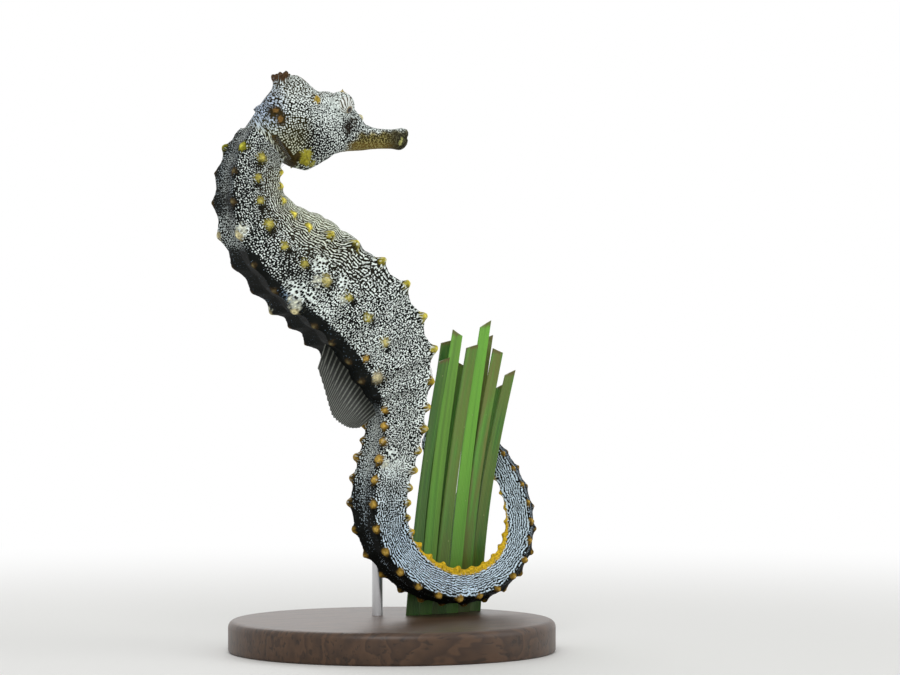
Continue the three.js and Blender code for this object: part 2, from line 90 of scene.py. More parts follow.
def openPiece(piece, action="SELECT"):
    # edit mode, with all or none of the mesh selected
    pick(piece)
    bpy.ops.object.mode_set(mode="EDIT")
    bpy.ops.mesh.select_all(action=action)


def closePiece():
    bpy.ops.object.mode_set(mode="OBJECT")


def added(operator, name="work", **settings):
    # a new primitive, with its place put into its mesh
    deselectAll()
    operator(**settings)
    bpy.ops.object.transform_apply(location=True)
    piece = bpy.context.active_object
    piece.name = name
    return piece


def copyOfNode(name):
    # a CAD node's triangles are loose, so its doubles are merged first
    piece = linked("work_" + name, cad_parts[name].data.copy())
    piece.data.materials.clear()
    openPiece(piece)
    bpy.ops.mesh.remove_doubles(threshold=doubles)
    closePiece()
    return piece


def joined(pieces, name):
    deselectAll()
    for piece in pieces:
        piece.select_set(True)
    bpy.context.view_layer.objects.active = pieces[0]
    bpy.ops.object.join()
    pieces[0].name = name
    pieces[0].data.name = name
    return pieces[0]


def applyModifier(piece, kind, **settings):
    pick(piece)
    modifier = piece.modifiers.new(kind.lower(), kind)
    for key, value in settings.items():
        setattr(modifier, key, value)
    bpy.ops.object.modifier_apply(modifier=modifier.name)


def smoothByAngle(piece, degrees):
    pick(piece)
    bpy.ops.object.shade_smooth_by_angle(angle=math.radians(degrees))
    return piece


def readAll(items, key, kind=np.float32, width=3):
    values = np.empty(len(items) * width, kind)
    items.foreach_get(key, values)
    return values.reshape(-1, width)


def pointsOf(piece):
    return readAll(piece.data.vertices, "co").astype(float)


def normalsOf(piece):
    return readAll(piece.data.vertex_normals, "vector").astype(float)


def setPoints(piece, points):
    piece.data.vertices.foreach_set("co", np.asarray(points, np.float32).ravel())
    piece.data.update()


def writeAttribute(piece, name, values, kind="FLOAT_VECTOR", domain="POINT"):
    attribute = piece.data.attributes.new(name, kind, domain)
    key = "vector" if kind == "FLOAT_VECTOR" else "color"
    attribute.data.foreach_set(key, np.asarray(values, np.float32).ravel())


def unit(vectors):
    return vectors / np.linalg.norm(vectors, axis=-1, keepdims=True)


def smoothStep(value, low, high):
    part = np.clip((value - low) / (high - low), 0, 1)
    return part * part * (3 - 2 * part)


def readTable(table, value):
    # a table is a list of (where, how much), with straight lines between
    return np.interp(value, *zip(*table))


def facing(direction):
    return Vector(direction).to_track_quat("Z", "Y").to_matrix().to_4x4()


def finished(piece, material, slot, *nodes):
    piece.data.materials.append(material)
    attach(piece, "root")
    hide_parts(*nodes)


class Board:
    # a short way to add and join the nodes of one material, or of the world
    def __init__(self, owner):
        owner.use_nodes = True
        self.owner = owner
        self.tree = owner.node_tree

    def plug(self, value, socket):
        if isinstance(value, bpy.types.NodeSocket):
            self.tree.links.new(value, socket)
        else:
            socket.default_value = (*value, 1) if socket.type == "RGBA" else value

    def node(self, kind, sockets=(), **settings):
        made = self.tree.nodes.new(kind)
        for key, value in settings.items():
            setattr(made, key, value)
        for key, value in dict(sockets).items():
            self.plug(value, made.inputs[key])
        return made

    def maths(self, operation, *values, clamp=False):
        made = self.node("ShaderNodeMath", enumerate(values), operation=operation, use_clamp=clamp)
        return made.outputs[0]

    def plus(self, a, b):
        return self.maths("ADD", a, b)

    def times(self, a, b):
        return self.maths("MULTIPLY", a, b)

    def line(self, value, slope, rise, clamp=False):
        return self.maths("MULTIPLY_ADD", value, slope, rise, clamp=clamp)

    def vectorMaths(self, operation, sockets):
        made = self.node("ShaderNodeVectorMath", sockets, operation=operation)
        return made.outputs["Value" if operation == "LENGTH" else "Vector"]

    def attribute(self, name):
        return self.node("ShaderNodeAttribute", attribute_name=name).outputs

    def split(self, vector):
        return self.node("ShaderNodeSeparateXYZ", {0: vector}).outputs

    def objectPlace(self):
        return self.node("ShaderNodeTexCoord").outputs["Object"]

    def scaled(self, vector, scale):
        return self.node("ShaderNodeMapping", {"Vector": vector, "Scale": scale}).outputs[0]

    def noise(self, vector, scale, detail=2, roughness=0.5, output="Fac", dimensions="3D"):
        sockets = {"Vector": vector, "Scale": scale, "Detail": detail, "Roughness": roughness}
        return self.node("ShaderNodeTexNoise", sockets, noise_dimensions=dimensions).outputs[output]

    def flatNoise(self, vector, scale):
        return self.noise(vector, scale, 0, dimensions="2D")

    def cells(self, vector, scale, randomness=1, dimensions="2D"):
        sockets = {"Vector": vector, "Scale": scale, "Randomness": randomness}
        return self.node("ShaderNodeTexVoronoi", sockets, voronoi_dimensions=dimensions).outputs["Distance"]

    def flatLines(self, vector, scale):
        # long forking lines along the first axis, as a wave between -1 and 1
        sockets = {"Vector": vector, "Scale": scale / 2, "Frequency": 2, "Anisotropy": 1}
        made = self.node("ShaderNodeTexGabor", sockets, gabor_type="2D")
        for socket in made.inputs:
            if socket.name == "Orientation" and socket.type == "VALUE":
                socket.default_value = math.pi / 2
        return self.maths("COSINE", self.times(made.outputs["Phase"], math.tau))

    def spread(self, value, low, high, toLow=0, toHigh=1):
        sockets = {"Value": value, "From Min": low, "From Max": high, "To Min": toLow, "To Max": toHigh}
        return self.node("ShaderNodeMapRange", sockets, interpolation_type="SMOOTHSTEP").outputs[0]

    def blend(self, share, a, b):
        # between two numbers
        return self.node("ShaderNodeMix", {0: share, 2: a, 3: b}, data_type="FLOAT").outputs[0]

    def mix(self, share, a, b):
        # between two colours
        return self.node("ShaderNodeMix", {0: share, 6: a, 7: b}, data_type="RGBA").outputs[2]

    def bump(self, height, distance, strength):
        # the distance is in millimetres
        sockets = {"Height": height, "Distance": distance * mm, "Strength": strength}
        return self.node("ShaderNodeBump", sockets).outputs[0]

    def set(self, **values):
        names = {
            "colour": "Base Color", "roughness": "Roughness", "normal": "Normal", "metal": "Metallic",
            "coat": "Coat Weight", "coatRoughness": "Coat Roughness", "alpha": "Alpha",
            "specular": "Specular IOR Level",
        }
        for key, value in values.items():
            self.plug(value, self.tree.nodes["Principled BSDF"].inputs[names[key]])
        return self.owner


def newMaterial(name):
    return Board(bpy.data.materials.new(name))


# the same tables as the CAD part, in millimetres and degrees, most of them by ring
bodyPlan = {
    "lastRing": 50,
    "stepsPerRing": 20,
    "neckTop": (-31.4, 0, 110.6),
    "neckHeading": -34.6,
    "turn": [(0, 14), (2, 17.6), (4, 17.2), (6, 5.2), (8, -8.8), (10, -10), (12, -9.8), (14, -11),
             (16, 2.6), (18, 14.5), (20, 16), (22, 12.6), (24, 10.6), (26, 13), (28, 16.8),
             (30, 15.5), (32, 10.2), (34, 7), (36, 13), (38, 26), (41, 34), (46, 31), (50, 26)],
    "drift": [(20, 0), (24, 12), (28, 18), (34, 18), (37, 6), (50, 6)],
    "ringLength": [(0, 3.7), (4, 5.4), (10, 7), (13, 3.9), (17, 4.4), (24, 5.2), (34, 3.9),
                   (38, 2.9), (50, 1.3)],
    "depth": [(0, 10), (1, 10.8), (3, 13.2), (5, 17.6), (7, 21.2), (9, 21.8), (11, 18.8),
              (12, 14.5), (13, 10.9), (15, 9.7), (18, 9.9), (21, 8.2), (24, 7), (28, 6.7),
              (32, 5.4), (34, 4.8), (38, 3.6), (44, 2.2), (50, 1.1)],
    "width": [(0, 8.6), (3, 10.2), (5, 10.8), (7, 12), (9, 13), (11, 11.6), (13, 9.2), (15, 8.8),
              (18, 8.3), (21, 6.8), (24, 6.2), (28, 6), (32, 4.9), (34, 4.4), (38, 3.4),
              (44, 2.1), (50, 1.1)],
    "lean": [(0, -10), (5, -13), (8, -10), (11, -1), (14, 4), (17, 0)],
    "roll": [(13, 0), (18, 12), (24, 14), (29, 38), (34, 34), (40, 20)],
    "trunkRidges": {"superior": (1, 1), "lateral": (0.12, 1.25), "inferior": (-1, 0.9)},
    "fullInferior": (-0.74, 0.94),  # the inferior ridge where the belly is fullest
    "fullness": [(1.5, 0), (3.2, 1), (5.2, 1), (8, 0)],
    "tailRidges": {"superior": (1, 1), "inferior": (-1, 1)},
    "backEdge": [(0, 0.9), (4, 0.9), (5, 0.8), (8, 0.76), (11, 0.72), (12.5, 0.8), (14, 0.92),
                 (18, 0.86), (50, 0.88)],  # where the back starts, in half depths
    "headAt": (-14.1, 0, 118.1),
    "pieces": [("neck", 0, 2.5), ("trunk_upper", 2.5, 5.5), ("trunk_middle", 5.5, 8.5),
               ("trunk_lower", 8.5, 12.5), ("tail_1", 12.5, 16.5), ("tail_2", 16.5, 20.5),
               ("tail_3", 20.5, 24.5), ("tail_4", 24.5, 28.5), ("tail_5", 28.5, 32.5),
               ("tail_6", 32.5, 37.5), ("tail_tip", 37.5, 50)],
}


def planValue(key, rings):
    return readTable(bodyPlan[key], rings)


def half(key, rings):
    # half the body's depth or width, in metres
    return planValue(key, rings) * mm / 2


def growBody():
    perRing = bodyPlan["stepsPerRing"]
    rings = np.arange(bodyPlan["lastRing"] * perRing + 1) / perRing
    turned = np.concatenate([[0], np.cumsum(planValue("turn", rings)[:-1] / perRing)])
    heading = np.radians(bodyPlan["neckHeading"] + turned)
    drift = np.radians(planValue("drift", rings))
    ahead = unit(np.stack([np.sin(heading), np.tan(drift), -np.cos(heading)], 1))
    square = heading + np.radians(planValue("lean", rings))
    back = np.stack([-np.cos(square), 0 * square, -np.sin(square)], 1)
    right = unit(np.cross(back, ahead))
    roll = np.radians(planValue("roll", rings))[:, None]
    length = planValue("ringLength", rings)[:-1, None] / perRing * mm
    steps = np.cumsum(ahead[:-1] * length, axis=0)
    centre = np.array(bodyPlan["neckTop"]) * mm + np.concatenate([np.zeros((1, 3)), steps])
    return {
        "rings": rings,
        "centre": centre,
        "ahead": ahead,
        "back": back * np.cos(roll) + right * np.sin(roll),
        "right": right * np.cos(roll) - back * np.sin(roll),
        "along": np.concatenate([[0], np.cumsum(length[:, 0])]),
    }


body = growBody()


def bodyAt(key, rings):
    table = body[key]
    if table.ndim == 1:
        return np.interp(rings, body["rings"], table)
    return np.stack([np.interp(rings, body["rings"], table[:, i]) for i in range(3)], 1)


def placesOnBody(points):
    # ring number and distances up and out for points on or near the body
    tree = kdtree.KDTree(len(body["centre"]))
    for i, at in enumerate(body["centre"]):
        tree.insert(at, i)
    tree.balance()
    rings = np.array([tree.find(p)[1] for p in points]) / bodyPlan["stepsPerRing"]
    # from the nearest step towards the ring whose own plane holds the point
    for _ in range(8):
        across = unit(np.cross(bodyAt("right", rings), bodyAt("back", rings)))
        off = np.sum((points - bodyAt("centre", rings)) * across, axis=1)
        pace = planValue("ringLength", rings) * mm
        rings = np.clip(rings + 0.7 * off / pace, 0, bodyPlan["lastRing"])
    offset = points - bodyAt("centre", rings)
    return {
        "ring": rings,
        "up": np.sum(offset * bodyAt("back", rings), axis=1),
        "out": np.sum(offset * bodyAt("right", rings), axis=1),
    }


def pointOnBody(ring, up, out):
    # up and out are shares of the half depth and the half width there
    at = np.array([ring], float)
    offset = (bodyAt("back", at) * up * half("depth", at) + bodyAt("right", at) * out * half("width", at))[0]
    return bodyAt("centre", at)[0] + offset, unit(offset)


def trunkRidge(name, ring):
    up, out = bodyPlan["trunkRidges"][name]
    if name == "inferior":
        full = planValue("fullness", ring)
        up, out = (a + (b - a) * full for a, b in zip((up, out), bodyPlan["fullInferior"]))
    return up, out


def headPlace(at, hand=1):
    # a place in the head's frame, in metres in the frame of the whole
    x, y, z = at
    return (Vector((x, y * hand, z)) + Vector(bodyPlan["headAt"])) * mm


print("body plan is ready")

# the skin is the CAD lengths closed up, with tubercles added, made one surface
skinShape = {
    "voxel": 0.37,  # millimetres
    "halfGap": 0.15,  # between two CAD lengths
    "endBand": 0.06,  # a length's flat end lies this near its plane
    "lastBand": 0.2,  # and the neck's upper end
    "endReach": 20,  # and this near the middle line
    "overlap": 0.3,  # how far each end is pushed into its neighbour
    "neckOverlap": 0.9,
    "snoutOverlap": 0.6,
    "smoothing": 4,
    "headBox": {"bottom": -16, "front": 20, "rear": -24},  # in the head's frame, beyond the neck's upper end
    "crown": {"at": (-12.5, 0, 5.5), "tilt": -4, "foot": 2.5, "top": 1.6, "height": 1.5, "sunk": 2.2,
              "knobRing": 1.4, "knobSize": 0.95, "knobLifts": (-0.7, 0.35, -0.05, -0.05, 0.35),
              "knobShape": (0.85, 0.85, 1.35), "knobSpread": 2.4},
    "lid": {"at": (0.05, 5.75, 1.15), "ring": 2.1, "thickness": 0.42, "forwards": 0.16},
    "noseKnob": {"at": (6.1, 0, -1.2), "radius": 1.0},
    "nostril": {"at": (5.4, 1.5, -1.5), "radius": 0.5, "depth": 0.3},
    "mouth": {"front": (17.4, -5.2), "slope": 0.35, "thickness": 0.28, "depth": 0.35,
              "from": 14.9, "to": 16.2},
    "headSwells": [  # place in the head's frame, reach along and across, how far out
        ((-9.4, 0), (1.6, 2.2), 1.25), ((-7.4, 0), (1.5, 2.4), 0.85), ((-4.6, 0), (1.9, 4.0), -0.85),
    ],
    "headKnobs": [  # place in the head's frame, radius, height
        ((-6.5, 5.0, 2.2), 0.8, 0.5), ((-15.8, 4.3, -0.3), 0.75, 0.4), ((-15.0, 5.0, -2.3), 0.8, 0.4),
        ((-8.8, 4.6, -10.2), 1.1, 0.45), ((-6.6, 3.6, -11.8), 0.8, 0.4),
    ],
    "relief": [(0, 0.1), (3, 0.22), (8, 0.34), (11, 0.3), (13, 0.2), (24, 0.16), (37, 0.08), (50, 0)],
}


def closedUp(name, start, end):
    # pushes the two flat ends of a length out, so that it runs into its neighbours
    piece = copyOfNode(name)
    points = pointsOf(piece)
    for ring, way in ((start, -1), (end, 1)):
        at = np.array([ring], float)
        across = unit(np.cross(bodyAt("right", at), bodyAt("back", at)))[0] * way
        fromCentre = points - bodyAt("centre", at)[0]
        off = fromCentre @ across / mm
        if ring in (0, bodyPlan["lastRing"]):
            near = np.abs(off) < skinShape["lastBand"]
        else:
            near = np.abs(off + skinShape["halfGap"]) < skinShape["endBand"]
        close = np.linalg.norm(fromCentre, axis=1) < skinShape["endReach"] * mm
        reach = skinShape["neckOverlap" if ring == 0 else "overlap"]
        if ring < bodyPlan["lastRing"]:
            points[near & close] += across * reach * mm
    setPoints(piece, points)
    return piece


def joinSkin():
    pieces = [closedUp(*each) for each in bodyPlan["pieces"]]
    head, snout = copyOfNode("head"), copyOfNode("snout")
    points = pointsOf(snout)
    rear = points[:, 0] < points[:, 0].min() + 0.01 * mm
    points[rear, 0] -= skinShape["snoutOverlap"] * mm
    setPoints(snout, points)
    return joined([head, snout, makeCrown(), makeNoseKnob(), *makeLids(), *pieces], "seahorse_skin")


def makeCone(radius, top, height, sunk, sides):
    # a blunt cone on the origin, its foot sunk below it
    return added(bpy.ops.mesh.primitive_cone_add, vertices=sides, radius1=radius * mm, radius2=top * mm,
                 depth=(height + sunk) * mm, location=(0, 0, (height - sunk) / 2 * mm))


def makeBall(radius, fineness):
    return added(bpy.ops.mesh.primitive_ico_sphere_add, subdivisions=fineness, radius=radius * mm)


def makeCrown():
    # a low ring of blunt knobs round a shallow hollow
    shape = skinShape["crown"]
    pieces = [makeCone(shape["foot"], shape["top"], shape["height"], shape["sunk"], 20)]
    for i, lift in enumerate(shape["knobLifts"]):
        turn = math.tau * i / len(shape["knobLifts"])
        at = Vector((math.cos(turn), math.sin(turn), 0)) * shape["knobRing"] * mm
        at.z = (shape["height"] + lift) * mm
        knob = makeBall(shape["knobSize"], 2)
        lean = facing((at.x, at.y, shape["knobSpread"] * mm))
        knob.data.transform(Matrix.Translation(at) @ lean @ Matrix.Diagonal((*shape["knobShape"], 1)))
        pieces.append(knob)
    crown = joined(pieces, "crown")
    tilt = Matrix.Rotation(math.radians(shape["tilt"]), 4, "Y")
    crown.data.transform(Matrix.Translation(headPlace(shape["at"])) @ tilt)
    return crown


def makeNoseKnob():
    knob = makeBall(skinShape["noseKnob"]["radius"], 3)
    knob.data.transform(Matrix.Translation(headPlace(skinShape["noseKnob"]["at"])))
    return knob


def makeLids():
    shape = skinShape["lid"]
    lids = []
    for hand in bothHands:
        lid = added(bpy.ops.mesh.primitive_torus_add, major_radius=shape["ring"] * mm,
                    minor_radius=shape["thickness"] * mm, major_segments=40, minor_segments=12)
        out = facing((shape["forwards"], hand, 0))
        lid.data.transform(Matrix.Translation(headPlace(shape["at"], hand)) @ out)
        lids.append(lid)
    return lids


# the tubercles in rows along the ridges, sizes by ring against the model of each kind
tubercles = {
    "blunt": (0.85, 0.72),  # radius and height, millimetres
    "pointed": (1.5, 1.3),  # those along the belly's edge
    "pointedTip": 0.4,  # radius of their blunt tips
    "pointedSunk": 0.6,  # how far their feet go down into the body
    "trunkRings": (1, 12),
    "tailRings": (12, 38),
    "sideEnd": 11,  # the side row stops before this ring
    "pointedFrom": 6,  # the belly's edge has pointed ones from this ring
    "tailBackFrom": 14,  # the hips' own lead up to this ring
    "tallRings": (1, 4, 7, 16),
    "tall": 1.3,
    "lowFrom": 5,  # the back's own are lower from this ring
    "low": 0.78,
    "trunkSizes": [(0, 0.8), (3, 0.85), (7, 1), (11, 1)],
    "hips": [  # ring, up, out, size
        (10.2, 0.64, 1.13, 0.8), (11.1, 0.61, 1.14, 1.3), (12.9, 0.86, 1.08, 0.8),
    ],
    "tailSizes": [(12, 1.05), (18, 1), (30, 0.8), (37, 0.45)],
    "innerSizes": [(19, 1), (22, 0.75), (31, 0.75), (33, 1)],  # against the tail's outer ones
    "seed": 4,  # for the three ways in which they differ by chance
    "wander": 0.12,  # how far one may stand off its place, millimetres
    "lean": 0.2,  # and lean over
    "uneven": (0.86, 1.12),
    "bluntPaint": (0.2, 2.0),  # height of its middle over the ridge, and its reach for size 1
    "pointedPaint": (0.75, 2.5),
    "tints": {"superior": (0.07, 0.045, 0.018), "lateral": (0.37, 0.32, 0.05), "tail": (0.4, 0.24, 0.035),
              "inferior": (0.66, 0.57, 0.07), "inner": (0.5, 0.36, 0.04)},
    "ownTints": {("superior", 1): (0.42, 0.4, 0.03), ("superior", 4): (0.6, 0.53, 0.3),
                 ("superior", 7): (0.6, 0.53, 0.3), ("lateral", 7): (0.46, 0.4, 0.13),
                 ("lateral", 10): (0.46, 0.4, 0.13), ("tail", 11.1): (0.5, 0.44, 0.26)},
    "paleTip": (0.08, 0.08, 0.04),
}


def knobPlaces():
    # ring, ridge, up, out and size of every tubercle
    places = []

    def add(ring, ridge, up, out, size):
        places.extend((ring, ridge, up, out * hand, size) for hand in bothHands)

    for ring in range(*tubercles["trunkRings"]):
        size = readTable(tubercles["trunkSizes"], ring)
        tall = tubercles["tall"] if ring in tubercles["tallRings"] else 1
        low = tubercles["low"] if ring >= tubercles["lowFrom"] else 1
        add(ring, "superior", *trunkRidge("superior", ring), size * tall * low)
        add(ring, "inferior", *trunkRidge("inferior", ring), size)
        if ring < tubercles["sideEnd"]:
            add(ring, "lateral", *trunkRidge("lateral", ring), size * tall)
    for ring, up, out, size in tubercles["hips"]:
        add(ring, "tail", up, out, size)
    outer, inner = (bodyPlan["tailRidges"][key] for key in ("superior", "inferior"))
    for ring in range(*tubercles["tailRings"]):
        size = readTable(tubercles["tailSizes"], ring)
        tall = tubercles["tall"] if ring in tubercles["tallRings"] else 1
        if ring >= tubercles["tailBackFrom"]:
            add(ring, "tail", *outer, size * tall)
        add(ring, "inner", *inner, size * readTable(tubercles["innerSizes"], ring))
    return places


def isPointed(ring, ridge):
    return ridge == "inferior" and ring >= tubercles["pointedFrom"]


def addKnobs():
    radius, height = tubercles["blunt"]
    blunt = makeBall(radius, 2)
    openPiece(blunt)
    bpy.ops.transform.resize(value=(1, 1, height / radius))
    closePiece()
    radius, height = tubercles["pointed"]
    pointed = makeCone(radius, tubercles["pointedTip"], height, tubercles["pointedSunk"], 14)
    knobs = []
    chance = random.Random(tubercles["seed"])
    lean = tubercles["lean"]
    for ring, ridge, up, out, size in knobPlaces():
        at, away = pointOnBody(ring, up, out)
        at = at + unit(np.array([chance.uniform(-1, 1) for _ in range(3)])) * tubercles["wander"] * mm
        away = unit(away + np.array([chance.uniform(-lean, lean) for _ in range(3)]))
        size *= chance.uniform(*tubercles["uneven"])
        knob = linked("knob", (pointed if isPointed(ring, ridge) else blunt).data.copy())
        knob.data.transform(Matrix.Translation(at) @ facing(away) @ Matrix.Scale(size, 4))
        knobs.append(knob)
    bpy.data.objects.remove(blunt)
    bpy.data.objects.remove(pointed)
    return joined(knobs, "knobs")


skin = joined([joinSkin(), addKnobs()], "seahorse_skin")
applyModifier(skin, "REMESH", mode="VOXEL", voxel_size=skinShape["voxel"] * mm)
applyModifier(skin, "SMOOTH", factor=0.5, iterations=skinShape["smoothing"])
pick(skin)
bpy.ops.object.shade_smooth()
print("skin has", len(skin.data.vertices), "points")

# where each point of the skin lies along the body, and in the head's own frame
points = pointsOf(skin)
onBody = placesOnBody(points)
headFrame = points / mm - np.array(bodyPlan["headAt"])
neckAcross = unit(np.cross(body["right"][0], body["back"][0]))
headSide = (points - body["centre"][0]) @ neckAcross < 0
box = skinShape["headBox"]
isHead = headSide & (headFrame[:, 2] > box["bottom"])
isHead &= (headFrame[:, 0] < box["front"]) & (headFrame[:, 0] > box["rear"])


def faceOfBody():
    # ring, height in half depths, and 1 on the back between the two upper ridges
    ring = onBody["ring"]
    up = onBody["up"] / half("depth", ring)
    edge = planValue("backEdge", ring)
    return ring, up, smoothStep(up, edge - 0.03, edge + 0.1)


def beyondRidges():
    # 1 on the belly beyond the two inferior ridges, where the trunk is full
    ring, up, _ = faceOfBody()
    low = -np.interp(ring, range(12), [trunkRidge("inferior", each)[0] for each in range(12)])
    return smoothStep(-up, low + 0.08, low + 0.3) * (ring < 10)


def addRelief():
    # the rings of the armour stand a little proud, and the snout has its nostrils and mouth
    ring, _, dorsal = faceOfBody()
    depths = readTable(skinShape["relief"], ring) * mm
    shape = (0.5 + 0.5 * np.cos(math.tau * ring)) ** 2 - 0.35
    # the rings are fainter under the belly and over the trunk's back
    depths = depths * (1 - 0.7 * beyondRidges()) * (1 - 0.5 * dorsal * (ring < 13))
    moved = points + normalsOf(skin) * np.where(isHead, 0, depths * shape)[:, None]
    x, y, z = headFrame.T
    nostril, mouth = skinShape["nostril"], skinShape["mouth"]
    for hand in bothHands:
        near = np.linalg.norm(headFrame - np.array(nostril["at"]) * (1, hand, 1), axis=1)
        moved[:, 1] -= hand * nostril["depth"] * mm * np.exp(-(near / nostril["radius"]) ** 2)
    for at, (along, across), height in skinShape["headSwells"]:
        swell = np.exp(-((x - at[0]) / along) ** 2 - ((y - at[1]) / across) ** 2) * smoothStep(z, 2.5, 5)
        moved[:, 2] += np.where(isHead, height * mm * swell, 0)
    for at, radius, height in skinShape["headKnobs"]:
        near = np.linalg.norm(np.stack([x, np.abs(y), z], 1) - at, axis=1)
        knob = np.where(isHead, np.exp(-(near / radius) ** 2), 0)
        moved += normalsOf(skin) * (height * mm * knob)[:, None]
    off = z - mouth["front"][1] + mouth["slope"] * (mouth["front"][0] - x)
    slit = np.exp(-(off / mouth["thickness"]) ** 2) * smoothStep(x, mouth["from"], mouth["to"])
    moved -= normalsOf(skin) * (mouth["depth"] * mm * slit)[:, None]
    setPoints(skin, moved)


addRelief()
points = pointsOf(skin)

